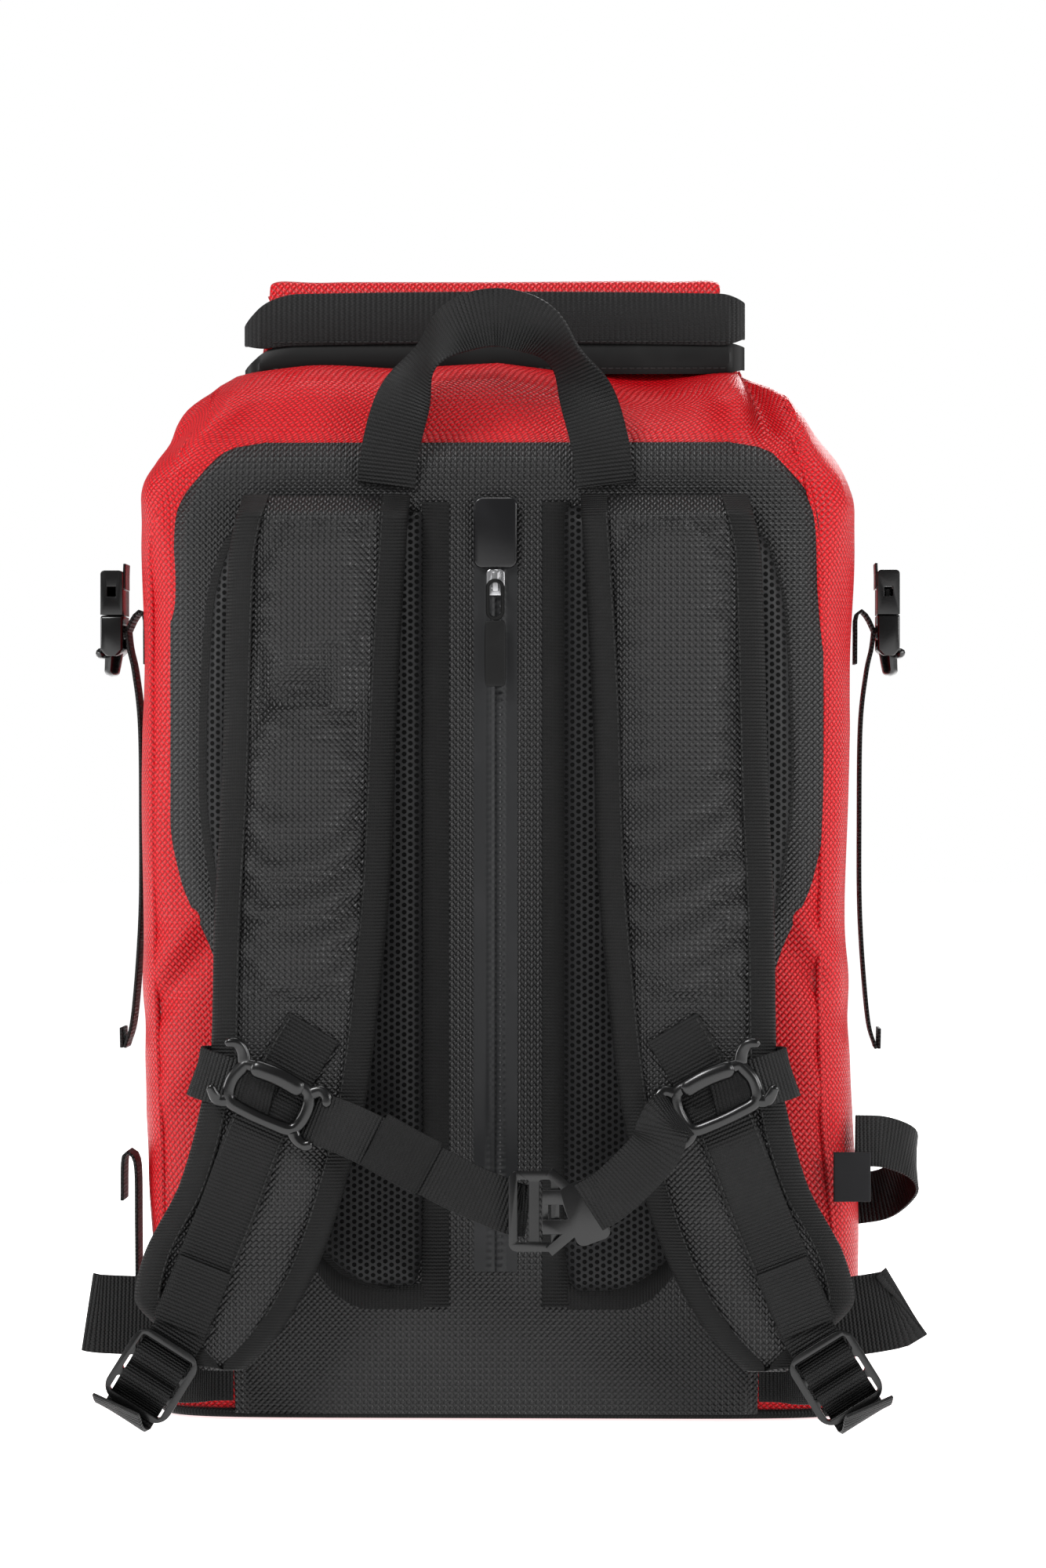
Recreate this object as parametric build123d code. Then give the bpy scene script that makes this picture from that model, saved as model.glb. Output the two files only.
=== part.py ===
"""Roll-top backpack with a padded harness, one STEP file for each sub-part.

Millimetres, +Z up. The harness side faces -Y and the far side faces +Y. While the parts are made,
X = 0 is the bag's centre plane and Y = 0 is half way through its depth. place_on_origin() then
moves everything so that the origin is the centre of the foot of the overall box.
"""
from build123d import *
import math
import os

# Bag body
BODY_WIDTH = 350.0
BODY_DEPTH = 190.0
BODY_HEIGHT = 512.0          # floor to the foot of the collar
SKIN = 2.0                   # laminated pack cloth
BASE_CORNER_R = 22.0
SHOULDER_DROP = 50.0         # shoulders start this far below the collar
SHOULDER_R = 24.0
YOKE_DROP = 37.0             # top of the flat harness side, below the collar
FAR_DROP = 112.0             # top of the flat far side, below the collar
FAR_KNEE_Y = 62.0
FAR_KNEE_DROP = 40.0

# Collar and the folded mouth
COLLAR_WIDTH = 240.0
COLLAR_HEIGHT = 36.0
COLLAR_GAP = 8.0             # room between the two walls of the mouth
COLLAR_SET_BACK = 71.0       # middle of the collar, behind the harness side
BAND_THICK = 1.6
STIFFENER_THICK = 1.0
STIFFENER_HEIGHT = 12.0

# Harness side
PANEL_THICK = 1.5
PANEL_HALF = 158.0
PANEL_FOOT_HALF = 126.0
PANEL_WAIST_HALF = 133.0
PANEL_WAIST_Z = 213.0
PANEL_HIP_Z = 277.0
PANEL_DROP = 39.0            # top of the harness panel, below the collar
PANEL_CORNER_R = 46.0
PAD_FOAM = 9.0
PAD_MESH = 2.5
PAD_IN = 36.0
PAD_OUT = 141.0
PAD_TOP_DROP = 74.0
PAD_FOOT_Z = 66.0
PAD_FOOT_OUT = 88.0
TAPE_WIDTH = 13.0
TAPE_THICK = 1.2

# Centre zip, sleeve behind it
ZIP_TAPE = 10.5              # width of one tape
ZIP_SLIT = 8.0
ZIP_FOOT_Z = 72.0
ZIP_TOP_DROP = 66.0
GARAGE_HEIGHT = 34.0
SLIDER_WIDTH = 9.0
SLIDER_HEIGHT = 13.0
PULL_LOOP = 20.0
PULL_LOOP_WIDTH = 9.0
PULL_CORD = 1.8
PULL_TAB_WIDTH = 10.5
PULL_TAB_HEIGHT = 32.0
SLEEVE_DEPTH = 18.0
SLEEVE_TOP_DROP = 84.0
FRAME_SHEET = 1.5

# Webbing, by its width
WEB_THICK = 1.6
HAUL_HALF = 53.0              # middle of each haul-loop foot, from the centre
WEB_HAUL = 28.0
WEB_STRAP = 28.0
WEB_CHEST = 25.0
WEB_HIP = 38.0
HIP_WEB_Z = 31.0
HIP_WEB_REACH = 22.0          # free end past the side of the bag
WEB_SIDE = 25.0
SIDE_WEB_BACK = 34.0          # lower side webs, behind the harness side
SIDE_WEB_TOP = 128.0
SIDE_LOOP_REACH = 30.0

# Shoulder straps
STRAP_THICK = 10.0
STRAP_TOP_DROP = 65.0
STRAP_FOOT_Z = 27.0
STRAP_ARCH = 26.0            # how far the strap stands off the pads at its middle
ARCH_Z = 150.0               # height of that middle
ARCH_TOP_Z = 230.0

# Moulded buckles
LOCK_WIDTH = 35.0
LOCK_HEIGHT = 38.0
LOCK_THICK = 6.0
LOCK_BAR = 3.4
LOCK_TAIL = 24.0              # webbing that stands out below the lock
LOCK_TURN = 32.0
ANCHOR_Z = 8.0
ANCHOR_HEIGHT = 18.6          # web that ties the strap's foot to the bag
LOCK_X = 163.0
LOCK_Z = 25.5
CHEST_Z = 159.0
CHEST_X = 106.0
CHEST_TURN = 25.0
CHEST_SLIDER_WIDTH = 42.0
CHEST_SLIDER_HEIGHT = 24.0
CHEST_PLATE = 4.0
CHEST_FRAME_WIDTH = 24.0
CHEST_FRAME_HEIGHT = 38.0
CHEST_SLOT_X = 5.2            # slots of the buckle frame, either side of its middle
HOOK_X = 30.0
HOOK_Z = 106.0
SIDE_BUCKLE_THICK = 11.0
SIDE_BUCKLE_WIDTH = 34.0
SIDE_BUCKLE_DROP = 121.0     # middle of the side buckle, below the collar
ADJUSTER_HEIGHT = 20.0
SOCKET_HEIGHT = 22.0
SIDE_STAND_OFF = 11.5
TAIL_LENGTH = 196.0

# Clearances
REST_GAP = 0.4               # soft parts of two bodies
FIT_GAP = 0.5                # moulded parts that slide into each other

# Planes that the sub-parts share
HALF = BODY_WIDTH / 2
NEAR_Y = -BODY_DEPTH / 2
FAR_Y = BODY_DEPTH / 2
COLLAR_Y = NEAR_Y + COLLAR_SET_BACK
COLLAR_THICK = COLLAR_GAP + 2 * SKIN
COLLAR_NEAR = COLLAR_Y - COLLAR_THICK / 2
COLLAR_TOP = BODY_HEIGHT + COLLAR_HEIGHT
PANEL_Y = NEAR_Y - PANEL_THICK
PAD_Y = PANEL_Y - PAD_FOAM - PAD_MESH
ZIP_TOP = BODY_HEIGHT - ZIP_TOP_DROP
STRAP_TOP = BODY_HEIGHT - STRAP_TOP_DROP
HAUL_FOOT = STRAP_TOP + 5.0
SLIDER_TOP = ZIP_TOP - GARAGE_HEIGHT - REST_GAP
SIDE_Z = BODY_HEIGHT - SIDE_BUCKLE_DROP
SIDE_Y = COLLAR_Y


def across_x(points, x0, x1):
    """Solid between x0 and x1 with the (y, z) outline."""
    face = make_face(Polyline(*points, close=True))
    return extrude(Plane.YZ.offset(x0) * face, amount=x1 - x0)


def across_y(face, y0, y1):
    """Solid between y0 and y1 from a face drawn in (x, z)."""
    return extrude(Plane.XZ.offset(-y1) * face, amount=y1 - y0)


def outline(points, radius):
    """Closed face through the points with every corner rounded."""
    radii = radius if isinstance(radius, list) else [radius] * len(points)
    wire = FilletPolyline(*points, radius=radii, close=True)
    return make_face(wire)


def block(x0, x1, y0, y1, z0, z1):
    """Box between two corners."""
    return Pos((x0 + x1) / 2, (y0 + y1) / 2, (z0 + z1) / 2) * Box(x1 - x0, y1 - y0, z1 - z0)


def plate(width, height, y0, y1, radius):
    """Rounded plate in (x, z) about the origin, between y0 and y1."""
    return across_y(RectangleRounded(width, height, radius), y0, y1)


def mirrored(solid):
    """The right-hand copy of a left-hand part."""
    return mirror(solid, about=Plane.YZ)


def both_sides(name, solid):
    """Left part and its mirror image, by name."""
    return {name + "_left": solid, name + "_right": mirrored(solid)}


def body_face(inset):
    """Front outline of the bag, moved in by inset."""
    half = HALF - inset
    top = BODY_HEIGHT - inset
    mouth = COLLAR_WIDTH / 2 - inset
    knee = mouth + 0.55 * (half - mouth)
    points = [
        (mouth, top), (knee, top - 6.0), (half, top - SHOULDER_DROP), (half, inset),
        (-half, inset), (-half, top - SHOULDER_DROP), (-knee, top - 6.0), (-mouth, top),
    ]
    corner = BASE_CORNER_R - inset
    shoulder = SHOULDER_R - inset
    return outline(points, [2.0, shoulder, shoulder, corner, corner, shoulder, shoulder, 2.0])


def body_side(inset):
    """Side outline of the bag as (y, z) points, moved in by inset."""
    top = BODY_HEIGHT - inset
    run = COLLAR_SET_BACK - COLLAR_THICK / 2
    slope = inset * (math.hypot(run, YOKE_DROP) - YOKE_DROP) / run
    return [
        (NEAR_Y + inset, inset),
        (NEAR_Y + inset, BODY_HEIGHT - YOKE_DROP - slope),
        (COLLAR_NEAR, top - 0.2 * inset),
        (COLLAR_NEAR + COLLAR_THICK, top - 0.2 * inset),
        (FAR_KNEE_Y - 0.4 * inset, BODY_HEIGHT - FAR_KNEE_DROP - inset),
        (FAR_Y - inset, BODY_HEIGHT - FAR_DROP - 0.5 * inset),
        (FAR_Y - inset, inset),
    ]


def bag_panels():
    """Cloth panels of the bag, cut from one closed shell where their seams run."""
    reach = BODY_WIDTH
    sides_out = across_x(body_side(0.0), -reach, reach)
    sides_in = across_x(body_side(SKIN), -reach, reach)
    front_out = across_y(body_face(0.0), -reach, reach)
    front_in = across_y(body_face(SKIN), -reach, reach)
    mouth_half = COLLAR_WIDTH / 2 - SKIN
    mouth = block(
        -mouth_half, mouth_half, COLLAR_Y - COLLAR_GAP / 2, COLLAR_Y + COLLAR_GAP / 2,
        BODY_HEIGHT - 4 * SKIN, BODY_HEIGHT + SKIN,
    )
    shell = (sides_out & front_out) - (sides_in & front_in) - mouth
    walls = shell - sides_in
    gussets = shell & sides_in
    near_top = BODY_HEIGHT - YOKE_DROP
    far_top = BODY_HEIGHT - FAR_DROP
    slit = block(
        -ZIP_SLIT / 2, ZIP_SLIT / 2, NEAR_Y - SKIN, NEAR_Y + 2 * SKIN, ZIP_FOOT_Z + 4.0, ZIP_TOP - 6.0,
    )
    high = 2 * BODY_HEIGHT
    return {
        "rear_panel": walls & block(-reach, reach, NEAR_Y - 1, NEAR_Y + SKIN, -1, near_top) - slit,
        "rear_yoke": walls & block(-reach, reach, NEAR_Y - 1, COLLAR_Y, near_top, high),
        "front_panel": walls & block(-reach, reach, FAR_Y - SKIN, FAR_Y + 1, -1, far_top),
        "front_yoke": walls & block(-reach, reach, COLLAR_Y, FAR_Y + 1, far_top, high),
        "base_panel": walls & block(-reach, reach, NEAR_Y + SKIN, FAR_Y - SKIN, -1, SKIN),
        "side_panel_left": gussets & block(-reach, 0, -reach, reach, -1, high),
        "side_panel_right": gussets & block(0, reach, -reach, reach, -1, high),
    }


def ring_wall(z0, z1, y_mid):
    """Flat tube of cloth, open at both ends: the collar, or the mouth folded over it."""
    half = COLLAR_WIDTH / 2
    depth = COLLAR_THICK / 2
    outer = block(-half, half, y_mid - depth, y_mid + depth, z0, z1)
    gap = COLLAR_GAP / 2
    inner = block(-half + SKIN, half - SKIN, y_mid - gap, y_mid + gap, z0 - 1, z1 + 1)
    return outer - inner


def mouth_fold():
    """Collar, and the mouth that is folded down in front of it with its webbing band."""
    fold_y = COLLAR_NEAR - REST_GAP - COLLAR_THICK / 2
    face = fold_y - COLLAR_THICK / 2
    half = COLLAR_WIDTH / 2
    low = BODY_HEIGHT + 1.0
    high = COLLAR_TOP - 1.0
    middle = (low + high) / 2 + 4.0
    stiff_half = half - 14.0
    stiff_face = face - STIFFENER_THICK
    return {
        "collar": ring_wall(BODY_HEIGHT, COLLAR_TOP, COLLAR_Y),
        "mouth_flap": ring_wall(BODY_HEIGHT, COLLAR_TOP, fold_y),
        "mouth_stiffener": block(
            -stiff_half, stiff_half, stiff_face, face,
            middle - STIFFENER_HEIGHT / 2, middle + STIFFENER_HEIGHT / 2,
        ),
        "mouth_band": block(-half, half, stiff_face - BAND_THICK, stiff_face, low, high),
    }


def harness_panel():
    """Ballistic cloth panel over the harness side, with the zip's slit."""
    top = BODY_HEIGHT - PANEL_DROP
    points = [
        (PANEL_HALF, top), (PANEL_HALF, PANEL_HIP_Z), (PANEL_WAIST_HALF, PANEL_WAIST_Z),
        (PANEL_FOOT_HALF, SKIN), (-PANEL_FOOT_HALF, SKIN), (-PANEL_WAIST_HALF, PANEL_WAIST_Z),
        (-PANEL_HALF, PANEL_HIP_Z), (-PANEL_HALF, top),
    ]
    corner = PANEL_CORNER_R
    face = outline(points, [corner, 20.0, 20.0, 1.0, 1.0, 20.0, 20.0, corner])
    slit = block(
        -ZIP_SLIT / 2, ZIP_SLIT / 2, PANEL_Y - 1, NEAR_Y + 1, ZIP_FOOT_Z + 4.0, ZIP_TOP - 6.0,
    )
    return {"back_panel": across_y(face, PANEL_Y, NEAR_Y) - slit}


def pad_face():
    """Outline of the left back pad."""
    top = BODY_HEIGHT - PAD_TOP_DROP
    points = [
        (-PAD_IN, top), (-PAD_OUT + 22.0, top), (-PAD_OUT, top - 70.0), (-PAD_OUT, PANEL_HIP_Z),
        (-PAD_FOOT_OUT - 30.0, 190.0), (-PAD_FOOT_OUT, PAD_FOOT_Z), (-PAD_IN, PAD_FOOT_Z),
    ]
    return outline(points, [1.0, 18.0, 30.0, 30.0, 30.0, 16.0, 1.0])


def back_pads():
    """Foam pads, their spacer mesh and the tapes that bind them beside the zip."""
    face = pad_face()
    tape_out = PAD_IN - 0.3
    tape = block(
        -tape_out, -tape_out + TAPE_WIDTH, PANEL_Y - TAPE_THICK, PANEL_Y, PAD_FOOT_Z - 3.0,
        BODY_HEIGHT - PAD_TOP_DROP + 8.0,
    )
    parts = both_sides("pad_foam", across_y(face, PANEL_Y - PAD_FOAM, PANEL_Y))
    parts.update(both_sides("pad_mesh", across_y(face, PAD_Y, PANEL_Y - PAD_FOAM)))
    parts.update(both_sides("pad_tape", tape))
    return parts


def zip_parts():
    """Zip tapes, the garage over the top end, the slider and its pull."""
    tape = block(-ZIP_TAPE, 0, PANEL_Y - TAPE_THICK, PANEL_Y, ZIP_FOOT_Z, ZIP_TOP)
    face = PANEL_Y - TAPE_THICK
    garage_y = face - 4.0
    garage = plate(2 * ZIP_TAPE, GARAGE_HEIGHT, garage_y, face, 4.0)
    garage = Pos(0, 0, ZIP_TOP - GARAGE_HEIGHT / 2) * garage
    hollow = block(
        -SLIDER_WIDTH / 2 - 1, SLIDER_WIDTH / 2 + 1, garage_y + 1.2, face + 1,
        ZIP_TOP - GARAGE_HEIGHT - 1, ZIP_TOP - 8.0,
    )
    slide_y = face - REST_GAP
    body = plate(SLIDER_WIDTH, SLIDER_HEIGHT, slide_y - 3.0, slide_y, 2.5)
    body = Pos(0, 0, SLIDER_TOP - SLIDER_HEIGHT / 2) * body
    bridge_y = slide_y - 3.0
    bridge = block(-1.6, 1.6, bridge_y - 3.4, bridge_y, SLIDER_TOP - 11.0, SLIDER_TOP - 1.5)
    bridge -= block(-2.0, 2.0, bridge_y - 2.0, bridge_y, SLIDER_TOP - 9.5, SLIDER_TOP - 3.5)
    loop_y = bridge_y - 3.4 - REST_GAP
    loop_top = SLIDER_TOP - 5.0
    loop = plate(PULL_LOOP_WIDTH, PULL_LOOP, loop_y - PULL_CORD, loop_y, 4.4)
    loop -= plate(PULL_LOOP_WIDTH - 2 * PULL_CORD, PULL_LOOP - 2 * PULL_CORD, loop_y - 2, loop_y, 2.6)
    loop = Pos(0, 0, loop_top - PULL_LOOP / 2) * loop
    tab = plate(PULL_TAB_WIDTH, PULL_TAB_HEIGHT, loop_y - 2.0, loop_y, 5.0)
    tab = Pos(0, 0, loop_top - PULL_LOOP - PULL_TAB_HEIGHT / 2) * tab
    parts = both_sides("zip_tape", tape)
    parts.update({
        "zip_garage": garage - hollow,
        "zip_slider": body + bridge,
        "pull_loop": loop,
        "pull_tab": tab,
    })
    return parts


def sleeve_parts():
    """Cloth wall of the sleeve behind the zip, and the frame sheet sewn to its far side."""
    wall_y = NEAR_Y + SKIN + SLEEVE_DEPTH
    half = HALF - SKIN
    top = BODY_HEIGHT - SLEEVE_TOP_DROP
    low = BASE_CORNER_R
    wall = block(-half, half, wall_y, wall_y + 1.2, low, top)
    sheet = plate(2 * half - 40.0, top - low - 30.0, wall_y + 1.2, wall_y + 1.2 + FRAME_SHEET, 30.0)
    return {"sleeve_wall": wall, "frame_sheet": Pos(0, 0, (top + low) / 2) * sheet}


def haul_loop():
    """Webbing arch above the harness, sewn down at its two feet."""
    foot = HAUL_HALF
    crown = COLLAR_TOP - HAUL_FOOT - WEB_HAUL / 2
    path = FilletPolyline(
        (-foot, 0), (-foot + 21.0, crown - 14.0), (0, crown), (foot - 21.0, crown - 14.0), (foot, 0),
        radius=16.0,
    )
    face = make_face(offset(path, amount=WEB_HAUL / 2, side=Side.BOTH).edges())
    flat = across_y(face, PANEL_Y - REST_GAP - WEB_THICK, PANEL_Y - REST_GAP)
    keep = block(-foot - WEB_HAUL, foot + WEB_HAUL, PANEL_Y - 20, PANEL_Y, 0, COLLAR_HEIGHT + crown)
    return {"haul_loop": Pos(0, 0, HAUL_FOOT) * (flat & keep)}


def strap_back_y(z):
    """Back face of a shoulder strap at height z: off the pads at the middle, in at both ends."""
    near = PAD_Y - REST_GAP
    knots = [
        (0.0, near - 10.0), (60.0, near - 12.0), (ARCH_Z - 40.0, near - STRAP_ARCH + 3.0),
        (ARCH_Z, near - STRAP_ARCH), (ARCH_TOP_Z, near - STRAP_ARCH + 12.0),
        (ARCH_TOP_Z + 100.0, near - 0.4), (STRAP_TOP - 9.0, near), (STRAP_TOP, PANEL_Y - REST_GAP),
    ]
    for (low, y_low), (high, y_high) in zip(knots, knots[1:]):
        if z <= high:
            return y_low + (y_high - y_low) * (z - low) / (high - low)
    return knots[-1][1]


def strap_layer(inner, outer):
    """Bent sheet that follows the strap, between two distances from its back face."""
    levels = [0.0, 60.0, ARCH_Z - 40.0, ARCH_Z, ARCH_TOP_Z, ARCH_TOP_Z + 100.0, STRAP_TOP - 9.0, STRAP_TOP]
    back = [(strap_back_y(z) - inner, z) for z in levels]
    front = [(strap_back_y(z) - outer, z) for z in reversed(levels)]
    return across_x(back + front, -BODY_WIDTH, 0)


def strap_face():
    """Front outline of the left shoulder strap."""
    top = STRAP_TOP
    points = [
        (-42.0, top), (-120.0, top), (-130.0, 308.0), (-133.0, 190.0), (-148.0, 118.0),
        (-171.0, 62.0), (-140.0, STRAP_FOOT_Z), (-120.0, STRAP_FOOT_Z), (-84.0, 80.0),
        (-64.0, 145.0), (-50.0, 270.0),
    ]
    return outline(points, [1.5, 1.5, 60.0, 60.0, 40.0, 10.0, 8.0, 8.0, 40.0, 60.0, 60.0])


def strap_web_face():
    """Front outline of the webbing sewn along the lower half of the left strap."""
    middle = [(-86.0, 190.0), (-103.0, 161.0), (-125.0, 108.0), (-150.0, 46.0)]
    slant = math.atan2(150.0 - 86.0, 190.0 - 46.0)
    across, rise = WEB_STRAP / 2 * math.cos(slant), WEB_STRAP / 2 * math.sin(slant)
    outer = [(x - across, z + rise) for x, z in middle]
    inner = [(x + across, z - rise) for x, z in middle]
    return make_face(Polyline(*outer, *reversed(inner), close=True))


def shoulder_straps():
    """Padded straps and the webbing sewn on their faces."""
    reach = BODY_DEPTH
    pad = across_y(strap_face(), -reach, 0) & strap_layer(0.0, STRAP_THICK)
    web = across_y(strap_web_face(), -reach, 0) & strap_layer(STRAP_THICK, STRAP_THICK + WEB_THICK)
    parts = both_sides("shoulder_pad", pad)
    parts.update(both_sides("strap_web", web))
    return parts


def lock_place():
    """Frame of the left ladder lock, at the foot of the strap."""
    y = strap_back_y(60.0) - STRAP_THICK - WEB_THICK - REST_GAP - LOCK_THICK / 2
    return Pos(-LOCK_X, y, LOCK_Z) * Rot(0, LOCK_TURN, 0)


def lower_harness():
    """Ladder locks, the webbing through them, and the webs that anchor them to the bag."""
    wide = LOCK_WIDTH - 2 * LOCK_BAR
    slot = (LOCK_HEIGHT - 4 * LOCK_BAR) / 3
    frame = plate(LOCK_WIDTH, LOCK_HEIGHT, -LOCK_THICK / 2, LOCK_THICK / 2, 8.0)
    for step in (-1, 0, 1):
        window = plate(wide, slot, -LOCK_THICK, LOCK_THICK, 1.5)
        frame -= Pos(0, 0, step * (slot + LOCK_BAR)) * window
    face = -LOCK_THICK / 2
    tail = Box(wide - 1.0, WEB_THICK, LOCK_TAIL)
    tail = Pos(0, face - WEB_THICK / 2 - 11.0, -16.0) * Rot(-68, 0, 0) * tail
    half_web = (wide - 1.0) / 2
    half_run = LOCK_HEIGHT / 2 - 6.0
    run = block(-half_web, half_web, face - WEB_THICK, face, -half_run, half_run)
    start = -PANEL_FOOT_HALF - 3.0
    lock_y = lock_place().position.Y
    end_y = lock_y + LOCK_THICK / 2 + REST_GAP + 1.0
    end_x = -LOCK_X + 8.0
    anchor = make_face(Polyline(
        (start, NEAR_Y), (start - 10.0, NEAR_Y), (end_x, end_y), (end_x + 7.0, end_y),
        close=True,
    ))
    anchor = extrude(Pos(0, 0, ANCHOR_Z) * anchor, amount=ANCHOR_HEIGHT)
    parts = both_sides("ladder_lock", lock_place() * frame)
    parts.update(both_sides("lower_web", lock_place() * (run + tail)))
    parts.update(both_sides("strap_anchor", anchor))
    return parts


def hip_webs():
    """Free ends of hip webbing, sewn to the edges of the harness panel."""
    start = PANEL_FOOT_HALF + 4.0
    back_y = NEAR_Y - REST_GAP
    low, high = HIP_WEB_Z, HIP_WEB_Z + WEB_HIP
    web = block(-HALF - HIP_WEB_REACH, -start, back_y - WEB_THICK, back_y, low, high)
    return both_sides("hip_web", web)


def chest_place():
    """Frame of the left chest slider, on the face of the strap's webbing."""
    rise = math.degrees(math.atan2(12.0, ARCH_TOP_Z - ARCH_Z))
    y = strap_back_y(CHEST_Z) - STRAP_THICK - WEB_THICK - REST_GAP
    return Pos(-CHEST_X, y, CHEST_Z) * Rot(-rise, 0, 0) * Rot(0, CHEST_TURN, 0)


def chest_slider():
    """Moulded slider with a window for the webbing and four turned-out horns."""
    body = plate(CHEST_SLIDER_WIDTH, CHEST_SLIDER_HEIGHT, -CHEST_PLATE, 0, 5.0)
    body -= plate(CHEST_SLIDER_WIDTH - 12.0, 9.0, -CHEST_PLATE - 1, 1, 1.5)
    for side in (-1, 1):
        for level in (-1, 1):
            horn = Pos(side * 23.0, -CHEST_PLATE / 2, level * 11.0) * Rot(0, -side * level * 35, 0)
            body += horn * Box(10.0, CHEST_PLATE, 5.0)
    return body


def web_between(a, b, y0, width):
    """Flat strip of webbing between two (x, z) points, with its back at y0."""
    run = math.hypot(b[0] - a[0], b[1] - a[1])
    turn = -math.degrees(math.atan2(b[1] - a[1], b[0] - a[0]))
    strip = block(-run / 2, run / 2, -WEB_THICK, 0, -width / 2, width / 2)
    return Pos((a[0] + b[0]) / 2, y0, (a[1] + b[1]) / 2) * Rot(0, turn, 0) * strip


def chest_strap():
    """Chest sliders and webs, the buckle frame on the left web and the hook on the right web."""
    slider = chest_place() * chest_slider()
    front_y = slider.bounding_box().min.Y - 0.2
    frame_left = HOOK_X - 22.0
    frame_x = frame_left + CHEST_FRAME_WIDTH / 2
    frame_y = front_y - WEB_THICK
    frame = plate(CHEST_FRAME_WIDTH, CHEST_FRAME_HEIGHT, frame_y - CHEST_PLATE, frame_y, 4.0)
    for side in (-1, 1):
        slot = plate(5.5, CHEST_FRAME_HEIGHT - 8.0, front_y - 20.0, front_y, 1.2)
        frame -= Pos(side * CHEST_SLOT_X, 0, 0) * slot
    frame = Pos(frame_x, 0, HOOK_Z) * frame
    web_left = web_between((-CHEST_X + 12.0, CHEST_Z - 6.0), (frame_left + 9.0, HOOK_Z), front_y, WEB_CHEST)
    keeper = web_between((-52.0, 133.6), (-36.0, 126.2), front_y - WEB_THICK, WEB_CHEST + 2.0)

    hook_y = front_y - WEB_THICK - CHEST_PLATE - REST_GAP
    palm = plate(17.0, 30.0, hook_y - CHEST_PLATE, hook_y, 4.0)
    hook = Pos(HOOK_X + 14.0, 0, HOOK_Z) * Rot(0, -20, 0) * palm
    for level in (-1, 1):
        finger = block(-9.0, 6.0, hook_y - CHEST_PLATE, hook_y, -2.4, 2.4)
        hook += Pos(HOOK_X + 4.0, 0, HOOK_Z + level * 13.0) * Rot(0, level * 40, 0) * finger
        root = block(-11.0, 6.0, hook_y - CHEST_PLATE, hook_y, -3.5, 3.5)
        hook += Pos(HOOK_X + 5.0, 0, HOOK_Z + level * 7.0) * root
    catch_x = frame_x + CHEST_SLOT_X
    hook += block(catch_x - 1.6, catch_x + 1.6, hook_y - 1.0, hook_y + 3.0, HOOK_Z - 9.0, HOOK_Z + 9.0)
    web_right = web_between(
        (HOOK_X + 20.0, HOOK_Z + 4.0), (CHEST_X - 11.0, CHEST_Z - 6.0), hook_y - CHEST_PLATE, WEB_CHEST,
    )
    return {
        "chest_slider_left": slider,
        "chest_slider_right": mirrored(slider),
        "chest_web_left": web_left,
        "chest_keeper": keeper,
        "chest_buckle_frame": frame,
        "chest_web_right": web_right,
        "chest_hook": hook,
    }


def side_buckles():
    """Side buckles: sewn anchor web, adjuster half with its tail, and the socket half on top."""
    inner = -HALF - SIDE_STAND_OFF
    outer = inner - SIDE_BUCKLE_THICK
    web = WEB_SIDE / 2
    half = SIDE_BUCKLE_WIDTH / 2
    patch = block(-HALF - WEB_THICK, -HALF, SIDE_Y - web, SIDE_Y + web, SIDE_Z - 24.0, SIDE_Z + 2.0)
    loop = block(inner + 4.0, -HALF, SIDE_Y - web, SIDE_Y + web, SIDE_Z + 0.4, SIDE_Z + 2.0)
    low = SIDE_Z - ADJUSTER_HEIGHT
    body = block(outer, inner, SIDE_Y - half, SIDE_Y + half, low, SIDE_Z)
    body = chamfer(body.edges().filter_by(Axis.Y).sort_by(Axis.Z)[:2], 3.0)
    for step in (5.0, 12.0):
        body -= block(outer - 1, inner + 1, SIDE_Y - web, SIDE_Y + web, low + step, low + step + 3.5)
    tongue_x = (outer + inner) / 2
    tongue = block(tongue_x - 2.2, tongue_x + 2.2, SIDE_Y - 9.0, SIDE_Y + 9.0, SIDE_Z, SIDE_Z + 14.0)
    seat = SIDE_Z + REST_GAP
    socket = block(outer, inner, SIDE_Y - half, SIDE_Y + half, seat, seat + SOCKET_HEIGHT)
    socket = fillet(socket.edges().filter_by(Axis.Y).sort_by(Axis.Z)[-2:], 2.0)
    room = 9.0 + FIT_GAP
    socket -= block(
        tongue_x - 2.2 - FIT_GAP, tongue_x + 2.2 + FIT_GAP, SIDE_Y - room, SIDE_Y + room,
        seat - 1, seat + 14.0 + FIT_GAP,
    )
    socket -= block(tongue_x - 2.2, tongue_x + 2.2, SIDE_Y - 30, SIDE_Y + 30, seat + 9.0, seat + 14.0)
    hang_x = -HALF - 3.0
    points = [
        (inner + 1.4, low + 8.0), (hang_x, low - 34.0), (hang_x, low - 110.0),
        (hang_x - 3.0, low - 160.0), (hang_x - 8.0, low - TAIL_LENGTH),
    ]
    edge = [(x - WEB_THICK, z) for x, z in points]
    face = make_face(Polyline(*points, *reversed(edge), close=True))
    tail = across_y(face, SIDE_Y - web, SIDE_Y + web)
    parts = both_sides("buckle_anchor", patch + loop)
    parts.update(both_sides("side_adjuster", body + tongue))
    parts.update(both_sides("adjuster_tail", tail - body))
    parts.update(both_sides("side_socket", socket))
    return parts


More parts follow.
